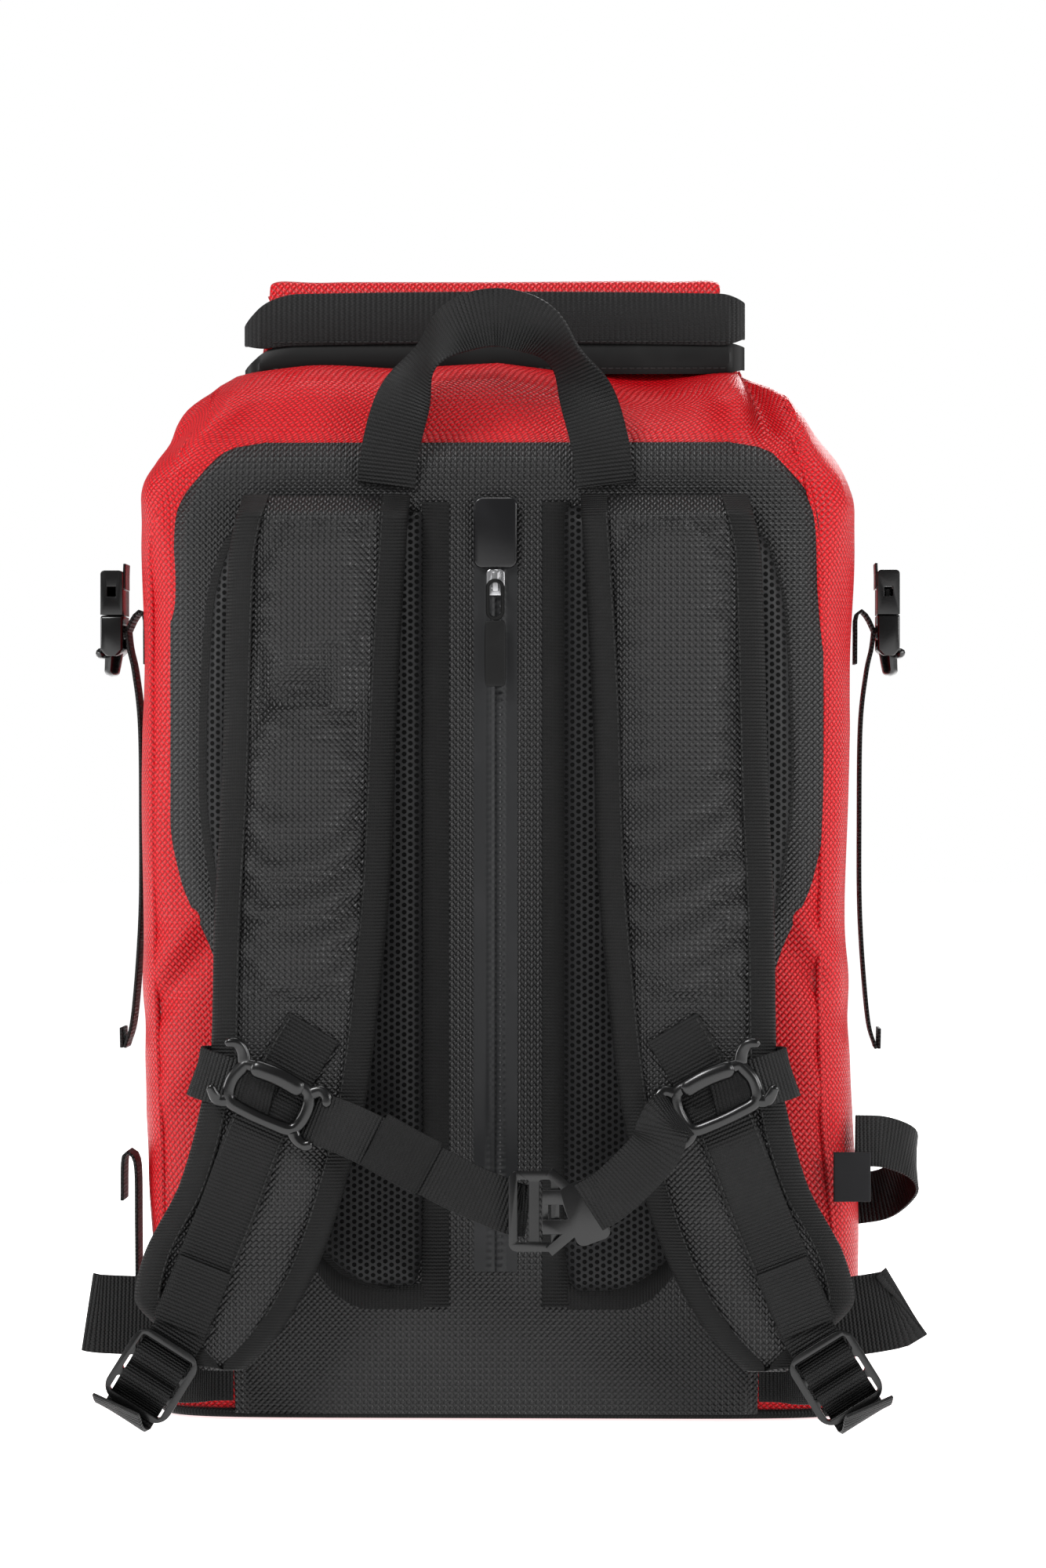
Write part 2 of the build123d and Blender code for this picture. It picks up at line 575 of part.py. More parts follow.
def side_webs():
    """Webbing on the lower sides: a hemmed strap on the left, a standing loop on the right."""
    web = WEB_SIDE / 2
    y = NEAR_Y + SIDE_WEB_BACK
    top = SIDE_WEB_TOP
    strip = block(-HALF - WEB_THICK, -HALF, y - web, y + web, top - 54.0, top)
    hem = block(-HALF - 8.0, -HALF - WEB_THICK, y - web, y + web, top - 4.0, top)
    reach = HALF + SIDE_LOOP_REACH
    outer = FilletPolyline((HALF, y - 16), (reach, y - 12), (reach, y + 20), (HALF, y + 26), radius=14.0)
    loop = make_face(offset(outer, amount=WEB_THICK / 2, side=Side.BOTH).edges())
    loop = extrude(Pos(0, 0, 112.0) * loop, amount=WEB_SIDE)
    loop &= block(HALF, reach + 5, NEAR_Y, FAR_Y, 0, BODY_HEIGHT)
    label_y = NEAR_Y - 0.8
    label = block(HALF - 12.0, HALF + 6.0, label_y, NEAR_Y, 106.0, 130.0)
    return {"side_strap_left": strip + hem, "side_strap_right": loop, "side_label": label}


def place_on_origin(parts):
    """Move every part so that the origin is the centre of the foot of the overall box."""
    boxes = [solid.bounding_box() for solid in parts.values()]
    middle_x = (min(b.min.X for b in boxes) + max(b.max.X for b in boxes)) / 2
    middle_y = (min(b.min.Y for b in boxes) + max(b.max.Y for b in boxes)) / 2
    foot = min(b.min.Z for b in boxes)
    shift = (-middle_x, -middle_y, -foot)
    return {name: Pos(*shift) * solid for name, solid in parts.items()}, shift


def all_parts():
    """Every sub-part by its node name, in the making frame."""
    parts = {}
    for group in (
        bag_panels, mouth_fold, harness_panel, back_pads, zip_parts, sleeve_parts, haul_loop,
        shoulder_straps, lower_harness, hip_webs, chest_strap, side_buckles, side_webs,
    ):
        parts.update(group())
    return parts


def main():
    """Write one STEP file for each sub-part."""
    os.makedirs("parts", exist_ok=True)
    placed, shift = place_on_origin(all_parts())
    for name, solid in placed.items():
        export_step(solid, f"parts/{name}.step")
    print(len(placed), "nodes, moved by", [round(value, 3) for value in shift])


if __name__ == "__main__":
    main()
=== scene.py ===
"""Finished look of a roll-top backpack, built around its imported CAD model."""

import logging
import math
from dataclasses import dataclass, field
from enum import Enum
from typing import Callable

import bpy
import numpy as np
from mathutils import Matrix, Vector


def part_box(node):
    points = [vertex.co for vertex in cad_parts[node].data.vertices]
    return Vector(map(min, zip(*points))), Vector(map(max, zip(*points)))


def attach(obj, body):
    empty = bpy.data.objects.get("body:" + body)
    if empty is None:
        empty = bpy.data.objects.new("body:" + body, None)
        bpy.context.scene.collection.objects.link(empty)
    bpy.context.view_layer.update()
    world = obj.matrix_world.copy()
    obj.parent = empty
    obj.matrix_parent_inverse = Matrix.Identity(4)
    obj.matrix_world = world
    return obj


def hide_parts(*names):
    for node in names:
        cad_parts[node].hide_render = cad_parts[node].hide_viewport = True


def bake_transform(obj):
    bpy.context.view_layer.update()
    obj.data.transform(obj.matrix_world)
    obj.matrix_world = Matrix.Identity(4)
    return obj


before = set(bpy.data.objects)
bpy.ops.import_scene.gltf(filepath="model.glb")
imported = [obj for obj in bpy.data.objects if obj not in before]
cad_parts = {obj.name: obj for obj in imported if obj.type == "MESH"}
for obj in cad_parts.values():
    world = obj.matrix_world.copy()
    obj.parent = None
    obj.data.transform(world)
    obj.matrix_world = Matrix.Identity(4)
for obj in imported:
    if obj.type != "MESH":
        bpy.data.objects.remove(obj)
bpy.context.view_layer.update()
logging.basicConfig(level=logging.INFO, format="%(message)s")
LOG = logging.getLogger("backpack")

MM = 0.001
THREAD_RADIUS = 0.32 * MM
SETTLE_FRAMES = 20
IMAGE_HEIGHT_M = 0.758  # height of the view at the harness
Array = np.ndarray
Point = tuple[float, float, float]
Place = Callable[[Array, Array], Array]  # points for every u and v from 0 to 1


def mm(*rows: tuple[float, ...]) -> list[tuple[float, ...]]:
    """Rows of millimetres as rows of metres."""
    return [tuple(value * MM for value in row) for row in rows]


def line(base: Point | Array, *rows: Point, flip: int = 1) -> list[Point]:
    """Points given in millimetres from a base point.

    Args:
        base: the point they are measured from, in metres.
        rows: x, y and z from the base, in millimetres.
        flip: -1 mirrors their x.

    Returns:
        The points in metres.
    """
    return [(base[0] + flip * x, base[1] + y, base[2] + z) for x, y, z in mm(*rows)]


def soft_step(share: Array) -> Array:
    """Quarter-round rise from 0 to 1, for edges that curve over."""
    return np.sqrt(np.clip(1 - (1 - share) ** 2, 0, 1))


class Hand(Enum):
    """Which side of the pack a piece is on, with the sign of its X."""

    LEFT = -1
    RIGHT = 1

    @property
    def tag(self) -> str:
        """Suffix of the node names on this side."""
        return self.name.lower()


class Span:
    """A CAD node's box with named edges, in metres."""

    def __init__(self, node: str) -> None:
        """Read the box of one node.

        Args:
            node: name of the CAD node.
        """
        low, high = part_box(node)
        self.x0, self.y0, self.z0 = low
        self.x1, self.y1, self.z1 = high
        self.x, self.y, self.z = ((a + b) / 2 for a, b in zip(low, high))


# ---------------------------------------------------------------- camera and light


@dataclass
class Studio:
    """Camera, soft lights and the pale floor that the pack stands on."""

    distance: float = 2.6
    azimuth: float = 1.5
    aim_x: float = 0.009
    aim_z: float = 0.3077

    def camera(self) -> None:
        """Place the camera square to the harness side."""
        near = Span("back_panel").y0
        data = bpy.data.cameras.new("studio_camera")
        data.sensor_width = 36.0
        data.lens = 36.0 * self.distance / IMAGE_HEIGHT_M
        camera = bpy.data.objects.new("studio_camera", data)
        bpy.context.collection.objects.link(camera)
        turn = math.radians(self.azimuth)
        aim = Vector((self.aim_x, near, self.aim_z))
        away = Vector((math.sin(turn), -math.cos(turn), 0.0)) * self.distance
        camera.location = aim + away
        camera.rotation_euler = (-away).to_track_quat("-Z", "Y").to_euler()
        bpy.context.scene.camera = camera

    def floor(self) -> None:
        """Lay the pale floor under the pack."""
        Bench.clear()
        bpy.ops.mesh.primitive_circle_add(vertices=96, radius=14.0, fill_type="NGON", location=(0, 0, -0.0005))
        floor = bpy.context.active_object
        floor.name = floor.data.name = "studio_floor"
        bpy.ops.object.transform_apply(location=True, rotation=False, scale=False)
        Bench.finish(floor, Finishes.floor(), 60.0)

    def lights(self) -> None:
        """Hang the soft boxes and set an even white surround."""
        boxes = (
            ("key_box", (-1.1, -1.7, 2.1), 0.8, 60.0),
            ("fill_box", (2.0, -1.6, 0.9), 0.8, 24.0),
            ("top_box", (0.1, 0.3, 2.4), 1.0, 22.0),
            ("rim_left", (-1.7, -0.1, 0.7), 0.7, 13.0),
            ("rim_right", (1.7, -0.1, 0.7), 0.7, 13.0),
            ("rear_box", (0.6, 2.4, 1.4), 1.0, 26.0),
        )
        for name, spot, size, power in boxes:
            data = bpy.data.lights.new(name, "AREA")
            data.size = size
            data.energy = power
            lamp = bpy.data.objects.new(name, data)
            bpy.context.collection.objects.link(lamp)
            lamp.location = spot
            lamp.rotation_euler = (Vector((0, 0, 0.3)) - Vector(spot)).to_track_quat("-Z", "Y").to_euler()
        world = bpy.data.worlds.new("studio_white")
        bpy.context.scene.world = world
        world.use_nodes = True
        wire = Wire(world.node_tree)
        back = world.node_tree.nodes["Background"]
        back.inputs["Color"].default_value = (1, 1, 1, 1)
        seen = world.node_tree.nodes.new("ShaderNodeLightPath").outputs["Is Camera Ray"]
        wire.put(back.inputs["Strength"], wire.mix(seen, 0.22, 1.0))
        bpy.context.scene.view_settings.view_transform = "Standard"


# ---------------------------------------------------------------- modelling bench


class Bench:
    """Modelling moves shared by every sub-assembly."""

    @staticmethod
    def clear() -> None:
        """Deselect everything."""
        bpy.ops.object.select_all(action="DESELECT")

    @staticmethod
    def take(obj: bpy.types.Object) -> None:
        """Select one object and make it active.

        Args:
            obj: the piece.
        """
        Bench.clear()
        obj.select_set(True)
        bpy.context.view_layer.objects.active = obj

    @staticmethod
    def sheet(
        name: str, across: int, along: int, place: Place, loop: bool = False
    ) -> bpy.types.Object:
        """Add a grid and lay its points on a surface, with a UV map in metres.

        Args:
            name: name of the new piece.
            across: faces along u.
            along: faces along v.
            place: gives a point for every u and v from 0 to 1.
            loop: whether u closes on itself.

        Returns:
            The new object.
        """
        Bench.clear()
        bpy.ops.mesh.primitive_grid_add(x_subdivisions=across, y_subdivisions=along, size=2)
        obj = bpy.context.active_object
        obj.name = obj.data.name = name
        mesh = obj.data
        count = len(mesh.vertices)
        flat = np.empty(count * 3)
        mesh.vertices.foreach_get("co", flat)
        flat = flat.reshape(-1, 3)
        u, v = (flat[:, 0] + 1) / 2, (flat[:, 1] + 1) / 2
        points = place(u, v)
        mesh.vertices.foreach_set("co", points.ravel())
        order = np.lexsort((np.round(u, 6), np.round(v, 6)))
        grid = points[order].reshape(along + 1, across + 1, 3)
        run_u = np.zeros(grid.shape[:2])
        run_v = np.zeros(grid.shape[:2])
        run_u[:, 1:] = np.cumsum(np.linalg.norm(np.diff(grid, axis=1), axis=2), axis=1)
        run_v[1:, :] = np.cumsum(np.linalg.norm(np.diff(grid, axis=0), axis=2), axis=0)
        run_u -= run_u[:, -1:] / 2
        run_v = np.repeat(run_v.mean(axis=1, keepdims=True), across + 1, axis=1)
        uv = np.empty((count, 2))
        uv[order] = np.stack([run_u.ravel(), run_v.ravel()], axis=1)
        corners = np.empty(len(mesh.loops), dtype=np.int32)
        mesh.loops.foreach_get("vertex_index", corners)
        mesh.uv_layers[0].data.foreach_set("uv", uv[corners].ravel())
        mesh.update()
        if loop:
            Bench.edit(obj, lambda: bpy.ops.mesh.remove_doubles(threshold=1e-6))
        return obj

    @staticmethod
    def edit(obj: bpy.types.Object, *moves: Callable[[], object]) -> None:
        """Run edit-mode operators on the whole mesh.

        Args:
            obj: the piece to edit.
            moves: operators to call in turn.
        """
        Bench.take(obj)
        bpy.ops.object.mode_set(mode="EDIT")
        bpy.ops.mesh.select_all(action="SELECT")
        for move in moves:
            move()
        bpy.ops.object.mode_set(mode="OBJECT")

    @staticmethod
    def outward(obj: bpy.types.Object) -> None:
        """Turn every face of a closed piece outwards."""
        Bench.edit(obj, lambda: bpy.ops.mesh.normals_make_consistent(inside=False))

    @staticmethod
    def modify(obj: bpy.types.Object, kind: str, **values: object) -> None:
        """Add one modifier and apply it.

        Args:
            obj: the piece.
            kind: the modifier's type.
            values: its settings.
        """
        Bench.take(obj)
        modifier = obj.modifiers.new(kind.lower(), kind)
        for key, value in values.items():
            setattr(modifier, key, value)
        bpy.ops.object.modifier_apply(modifier=modifier.name)

    @staticmethod
    def finish(obj: bpy.types.Object, material: bpy.types.Material, angle: float = 40.0) -> bpy.types.Object:
        """Give a piece its one material and smooth shading under an angle.

        Args:
            obj: the piece.
            material: its material.
            angle: edges sharper than this many degrees stay crisp.

        Returns:
            The same object.
        """
        Bench.take(obj)
        obj.data.materials.clear()
        obj.data.materials.append(material)
        bpy.ops.object.shade_smooth_by_angle(angle=math.radians(angle))
        return obj

    @staticmethod
    def dress(
        piece: bpy.types.Object, finish: "Cloth | Moulding", body: str, slot: str, *nodes: str,
        angle: float = 40.0,
    ) -> None:
        """Finish a piece, let it ride its CAD body and hide the nodes that it replaces.

        Args:
            piece: the piece.
            finish: its finish.
            body: CAD body that it rides on.
            slot: name of a material slot; not used.
            nodes: CAD nodes that it replaces.
            angle: edges sharper than this many degrees stay crisp.
        """
        Bench.finish(piece, finish.material(), angle)
        Bench.tie(body, slot, piece)
        if nodes:
            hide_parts(*nodes)

    @staticmethod
    def tie(body: str, slot: str, *pieces: bpy.types.Object) -> None:
        """Let pieces ride a CAD body.

        Args:
            body: the CAD body.
            slot: the material slot; not used.
            pieces: the pieces.
        """
        for piece in pieces:
            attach(piece, body)

    @staticmethod
    def settle(obj: bpy.types.Object, held: Array, pressure: float, grow: float, cap: float) -> None:
        """Let a padded piece's cloth settle round its filling.

        Args:
            obj: the closed piece.
            held: whether each point is sewn down.
            pressure: push of the filling.
            grow: share by which the cloth is cut larger than its filling.
            cap: furthest that a point may move, in metres.
        """
        count = len(obj.data.vertices)
        before = np.empty(count * 3)
        obj.data.vertices.foreach_get("co", before)
        group = obj.vertex_groups.new(name="held")
        group.add([int(i) for i in np.nonzero(held)[0]], 1.0, "REPLACE")
        modifier = obj.modifiers.new("cloth", "CLOTH")
        cloth = modifier.settings
        cloth.quality, cloth.mass = 5, 0.3
        cloth.tension_stiffness, cloth.compression_stiffness, cloth.bending_stiffness = 20.0, 12.0, 0.3
        cloth.use_pressure, cloth.uniform_pressure_force = True, pressure
        cloth.shrink_min = -grow
        cloth.vertex_group_mass = group.name
        cloth.effector_weights.gravity = 0.0
        modifier.collision_settings.use_collision = False
        for step in range(SETTLE_FRAMES):
            bpy.context.scene.frame_set(step + 1)
        Bench.take(obj)
        bpy.ops.object.modifier_apply(modifier=modifier.name)
        bpy.context.scene.frame_set(1)
        after = np.empty(count * 3)
        obj.data.vertices.foreach_get("co", after)
        move = (after - before).reshape(-1, 3)
        far = np.linalg.norm(move, axis=1, keepdims=True)
        move *= np.minimum(1.0, cap / np.maximum(far, 1e-9))
        obj.data.vertices.foreach_set("co", (before.reshape(-1, 3) + move).ravel())
        obj.data.update()
        obj.vertex_groups.clear()
        LOG.info("%s settled, up to %.1f mm", obj.name, min(float(far.max()), cap) / MM)

    @staticmethod
    def moulded(node: str, bevel: float, name: str | None = None) -> bpy.types.Object:
        """Copy a CAD node's shape as one skin and round its edges.

        Args:
            node: CAD node to copy.
            bevel: rounding of the edges, in metres.
            name: name of the piece, or None for the node's own with a suffix.

        Returns:
            The new piece, which stands for the node.
        """
        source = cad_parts[node]
        obj = bpy.data.objects.new(name or node + "_moulding", source.data.copy())
        bpy.context.collection.objects.link(obj)
        Bench.edit(
            obj,
            lambda: bpy.ops.mesh.remove_doubles(threshold=1e-6),
            lambda: bpy.ops.mesh.dissolve_limited(angle_limit=math.radians(4.0)),
        )
        Bench.modify(obj, "BEVEL", width=bevel, segments=3, limit_method="ANGLE", angle_limit=math.radians(35))
        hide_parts(node)
        return obj


def smooth_path(points: list[Point], t: Array) -> Array:
    """Points at even steps along a smooth line through the given ones.

    Args:
        points: places that the line passes through.
        t: positions along the line from 0 to 1.

    Returns:
        One row of x, y, z for each t.
    """
    knots = np.array(points, dtype=float)
    ends = np.vstack([2 * knots[0] - knots[1], knots, 2 * knots[-1] - knots[-2]])
    fine = []
    for i in range(len(knots) - 1):
        a, b, c, d = ends[i : i + 4]
        s = np.linspace(0, 1, 24, endpoint=False)[:, None]
        fine.append(
            0.5 * (2 * b + (c - a) * s + (2 * a - 5 * b + 4 * c - d) * s**2 + (3 * b - a - 3 * c + d) * s**3)
        )
    line = np.vstack([*fine, knots[-1:]])
    run = np.concatenate([[0], np.cumsum(np.linalg.norm(np.diff(line, axis=0), axis=1))])
    return np.stack([np.interp(t * run[-1], run, line[:, k]) for k in range(3)], axis=-1)


def direction(points: list[Point], t: Array, step: float) -> Array:
    """Way that a smooth line runs, not yet of unit length.

    Args:
        points: places that the line passes through.
        t: positions along the line from 0 to 1.
        step: half of the stretch that is compared.

    Returns:
        One row of x, y, z for each t.
    """
    return smooth_path(points, np.minimum(t + step, 1)) - smooth_path(points, np.maximum(t - step, 0))


def knots_at(pairs: list[tuple[float, float]], t: Array) -> Array:
    """Smoothly blended value at t from (t, value) pairs.

    Args:
        pairs: positions and values, rising in position.
        t: where to read.

    Returns:
        The value at each t.
    """
    xs = np.array([p[0] for p in pairs])
    ys = np.array([p[1] for p in pairs])
    i = np.clip(np.searchsorted(xs, t) - 1, 0, len(xs) - 2)
    rise = np.diff(ys) / np.diff(xs)
    slope = np.concatenate([rise[:1], rise[-1:]])
    if len(rise) > 1:
        inner = np.zeros(len(rise) - 1)
        same = rise[:-1] * rise[1:] > 0
        inner[same] = 2 * rise[:-1][same] * rise[1:][same] / (rise[:-1][same] + rise[1:][same])
        slope = np.concatenate([rise[:1], inner, rise[-1:]])
    h = xs[i + 1] - xs[i]
    s = np.clip((t - xs[i]) / h, 0, 1)
    return (
        (2 * s**3 - 3 * s**2 + 1) * ys[i] + (s**3 - 2 * s**2 + s) * h * slope[i]
        + (-2 * s**3 + 3 * s**2) * ys[i + 1] + (s**3 - s**2) * h * slope[i + 1]
    )


@dataclass
class Webbing:
    """A flat woven strap that follows a line."""

    name: str
    points: list[Point]
    width: float
    side: Point
    thick: float = 1.6 * MM

    def build(self, finish: "Cloth | Moulding") -> bpy.types.Object:
        """Lay the strap along its line.

        Args:
            finish: webbing finish, ribbed along its UV map.

        Returns:
            The finished strap.
        """
        side = np.array(self.side, dtype=float)
        side /= np.linalg.norm(side)

        def place(u: Array, v: Array) -> Array:
            """Lay the piece's points.

            Args:
                u: share across, from 0 to 1.
                v: share along, from 0 to 1.

            Returns:
                One row of x, y, z for each pair.
            """
            middle = smooth_path(self.points, v)
            along = direction(self.points, v, 0.004)
            along /= np.linalg.norm(along, axis=1, keepdims=True)
            across = side - along * (along @ side)[:, None]
            across /= np.linalg.norm(across, axis=1, keepdims=True)
            return middle + across * ((u - 0.5) * self.width)[:, None]

        length = float(np.sum(np.linalg.norm(np.diff(np.array(self.points), axis=0), axis=1)))
        steps = max(12, int(length / 0.003))
        obj = Bench.sheet(self.name, 6, steps, place)
        Bench.modify(obj, "SOLIDIFY", thickness=self.thick, offset=0.0)
        Bench.modify(obj, "BEVEL", width=0.35 * MM, segments=2, limit_method="ANGLE")
        return Bench.finish(obj, finish.material())


@dataclass
class Tube:
    """A round or flattened bar that follows a line, closed at both ends."""

    name: str
    points: list[Point]
    radius: float
    flat: float = 1.0
    side: Point = (0.0, 1.0, 0.0)
    taper: float = 1.0
    ring: bool = False

    def build(self, finish: "Cloth | Moulding") -> bpy.types.Object:
        """Sweep the section along the line.

        Args:
            finish: the bar's finish.

        Returns:
            The finished bar.
        """
        side = np.array(self.side, dtype=float)
        side /= np.linalg.norm(side)
        points = self.points + self.points[:1] if self.ring else self.points

        def place(u: Array, v: Array) -> Array:
            """Lay the piece's points.

            Args:
                u: share across, from 0 to 1.
                v: share along, from 0 to 1.

            Returns:
                One row of x, y, z for each pair.
            """
            step = 0.01
            middle = smooth_path(points, v)
            if self.ring:
                along = smooth_path(points, (v + step) % 1.0) - smooth_path(points, (v - step) % 1.0)
                grow = np.ones_like(v)
            else:
                along = direction(points, v, step)
                cap = np.clip(np.minimum(v, 1 - v) * 7, 0, 1)
                grow = np.sqrt(np.clip(1 - (1 - cap) ** 2, 0.0004, 1)) * (1 + (self.taper - 1) * v)
            along /= np.linalg.norm(along, axis=1, keepdims=True)
            out = side - along * (along @ side)[:, None]
            out /= np.linalg.norm(out, axis=1, keepdims=True)
            across = np.cross(along, out)
            roll = u * 2 * math.pi
            wide = (self.radius * grow * np.cos(roll))[:, None]
            deep = (self.radius * self.flat * grow * np.sin(roll))[:, None]
            return middle + across * wide + out * deep

        bar = Bench.sheet(self.name, 12, 64 if self.ring else 24, place, loop=True)
        Bench.outward(bar)
        return Bench.finish(bar, finish.material(), 70.0)


class Seams:
    """Rows of thread stitches, one stitch modelled and copied along each row."""

    def __init__(self, name: str, length: float = 2.3 * MM, gap: float = 1.1 * MM) -> None:
        """Start an empty set of rows.

        Args:
            name: name of the piece that holds the stitches.
            length: length of one stitch.
            gap: space to the next stitch.
        """
        self.name, self.length, self.pitch = name, length, length + gap
        self.places: list[Matrix] = []

    def row(self, points: list[Point], out: Point = (0, -1, 0)) -> None:
        """Add a row of stitches.

        Args:
            points: line that the row follows.
            out: way that the cloth faces.
        """
        knots = np.array(points)
        total = float(np.sum(np.linalg.norm(np.diff(knots, axis=0), axis=1)))
        count = max(2, int(total / self.pitch))
        t = (np.arange(count) + 0.5) / count
        spots = smooth_path(points, t)
        ahead = direction(points, t, 0.3 / count)
        for spot, along in zip(spots, ahead):
            x = Vector(along).normalized()
            z = (Vector(out) - x * Vector(out).dot(x)).normalized()
            y = z.cross(x)
            self.places.append(Matrix((
                (x.x, y.x, z.x, spot[0]), (x.y, y.y, z.y, spot[1]), (x.z, y.z, z.z, spot[2]), (0, 0, 0, 1),
            )))

    def build(self, body: str) -> bpy.types.Object:
        """Copy the stitch to every place and let the piece ride a body.

        Args:
            body: the CAD body.

        Returns:
            The finished piece.
        """
        Bench.clear()
        bpy.ops.mesh.primitive_cylinder_add(
            vertices=6, radius=THREAD_RADIUS, depth=self.length, rotation=(0, math.pi / 2, 0)
        )
        stitch = bpy.context.active_object
        bpy.ops.object.transform_apply(location=False, rotation=True, scale=False)
        base = np.array([v.co[:] for v in stitch.data.vertices])
        faces = [tuple(p.vertices) for p in stitch.data.polygons]
        points, polygons = [], []
        for i, matrix in enumerate(self.places):
            m = np.array(matrix)
            points.append(base @ m[:3, :3].T + m[:3, 3])
            polygons += [tuple(k + i * len(base) for k in face) for face in faces]
        mesh = bpy.data.meshes.new(self.name)
        mesh.from_pydata(np.vstack(points).tolist(), [], polygons)
        piece = bpy.data.objects.new(self.name, mesh)
        bpy.context.collection.objects.link(piece)
        bpy.data.objects.remove(stitch, do_unlink=True)
        Bench.dress(piece, Finishes.THREAD, body, "webbing", angle=60.0)
        LOG.info("%s: %d stitches", self.name, len(self.places))
        return piece


# ---------------------------------------------------------------- shader groups


class Groups:
    """Shader node groups, each built once and placed in several materials."""

    made: dict[str, bpy.types.NodeTree] = {}

    @staticmethod
    def new(name: str, inputs: dict[str, float], outputs: tuple[str, ...]) -> bpy.types.NodeTree:
        """Start a group with a Vector input, value inputs and value outputs.

        Args:
            name: the group's name.
            inputs: value inputs and their defaults.
            outputs: names of the value outputs.

        Returns:
            The empty group.
        """
        tree = bpy.data.node_groups.new(name, "ShaderNodeTree")
        tree.interface.new_socket("Vector", in_out="INPUT", socket_type="NodeSocketVector")
        for label, value in inputs.items():
            socket = tree.interface.new_socket(label, in_out="INPUT", socket_type="NodeSocketFloat")
            socket.default_value = value
        for label in outputs:
            tree.interface.new_socket(label, in_out="OUTPUT", socket_type="NodeSocketFloat")
        Groups.made[name] = tree
        return tree

    @staticmethod
    def weave() -> bpy.types.NodeTree:
        """Basket weave: height of the yarns, and which yarn lies on top.

        Returns:
            The group.
        """
        if "cloth_weave" in Groups.made:
            return Groups.made["cloth_weave"]
        tree = Groups.new("cloth_weave", {"Pitch": 1.7 * MM}, ("Height", "Over"))
        wire = Wire(tree)
        u, v = wire.split(wire.entry("Vector"))
        pitch = wire.entry("Pitch")
        a, b = wire.math("DIVIDE", u, pitch), wire.math("DIVIDE", v, pitch)
        cell = wire.math("ADD", wire.math("FLOOR", a), wire.math("FLOOR", b))
        parity = wire.math("FLOORED_MODULO", cell, 2.0)
        ca = wire.math("ABSOLUTE", wire.math("SINE", wire.math("MULTIPLY", a, math.pi)))
        cb = wire.math("ABSOLUTE", wire.math("SINE", wire.math("MULTIPLY", b, math.pi)))
        warp = wire.math("MULTIPLY", ca, wire.math("POWER", cb, 0.35))
        weft = wire.math("MULTIPLY", cb, wire.math("POWER", ca, 0.35))
        wire.out("Height", wire.mix(parity, warp, weft))
        wire.out("Over", parity)
        return tree

    @staticmethod
    def ribs() -> bpy.types.NodeTree:
        """Webbing: cross ribs, broken by fine lengthwise yarns.

        Returns:
            The group.
        """
        if "webbing_ribs" in Groups.made:
            return Groups.made["webbing_ribs"]
        tree = Groups.new("webbing_ribs", {"Pitch": 1.4 * MM, "Yarn": 0.9 * MM}, ("Height", "Rib"))
        wire = Wire(tree)
        u, v = wire.split(wire.entry("Vector"))
        yarn = wire.math("DIVIDE", u, wire.entry("Yarn"))
        step = wire.math("FLOORED_MODULO", wire.math("FLOOR", yarn), 2.0)
        run = wire.math("ADD", wire.math("DIVIDE", v, wire.entry("Pitch")), wire.math("MULTIPLY", step, 0.12))
        rib = wire.math("ABSOLUTE", wire.math("SINE", wire.math("MULTIPLY", run, math.pi)))
        cord = wire.math("ABSOLUTE", wire.math("SINE", wire.math("MULTIPLY", yarn, math.pi)))
        wire.out("Height", wire.math("MULTIPLY", rib, wire.math("POWER", cord, 0.2)))
        wire.out("Rib", rib)
        return tree

    @staticmethod
    def holes() -> bpy.types.NodeTree:
        """Spacer mesh: a hexagonal net of threads and the holes between them.

        Returns:
            The group.
        """
        if "net_holes" in Groups.made:
            return Groups.made["net_holes"]
        tree = Groups.new("net_holes", {"Pitch": 4.6 * MM}, ("Height", "Hole"))
        wire = Wire(tree)
        u, v = wire.split(wire.entry("Vector"))
        turn = wire.math("DIVIDE", 2 * math.pi, wire.entry("Pitch"))
        a = wire.math("MULTIPLY", u, turn)
        b = wire.math("MULTIPLY", wire.math("MULTIPLY", v, turn), 0.866)
        half = wire.math("MULTIPLY", a, 0.5)
        total = wire.math("COSINE", a)
        total = wire.math("ADD", total, wire.math("COSINE", wire.math("ADD", half, b)))
        total = wire.math("ADD", total, wire.math("COSINE", wire.math("SUBTRACT", half, b)))
        hole = wire.ramp(total, -0.35, 0.75)
        wire.out("Hole", hole)
        wire.out("Height", wire.math("SUBTRACT", 1.0, hole))
        return tree

    @staticmethod
    def cloud() -> bpy.types.NodeTree:
        """Slow, soft change over the surface, for fading, handling and dust.

        Returns:
            The group.
        """
        if "soft_cloud" in Groups.made:
            return Groups.made["soft_cloud"]
        tree = Groups.new("soft_cloud", {"Scale": 9.0, "Detail": 3.0}, ("Cloud", "Fine"))
        wire = Wire(tree)
        wire.out("Cloud", wire.noise(wire.entry("Vector"), wire.entry("Scale"), 2.0))
        fine_scale = wire.math("MULTIPLY", wire.entry("Scale"), 23.0)
        wire.out("Fine", wire.noise(wire.entry("Vector"), fine_scale, wire.entry("Detail")))
        return tree


Socket = object


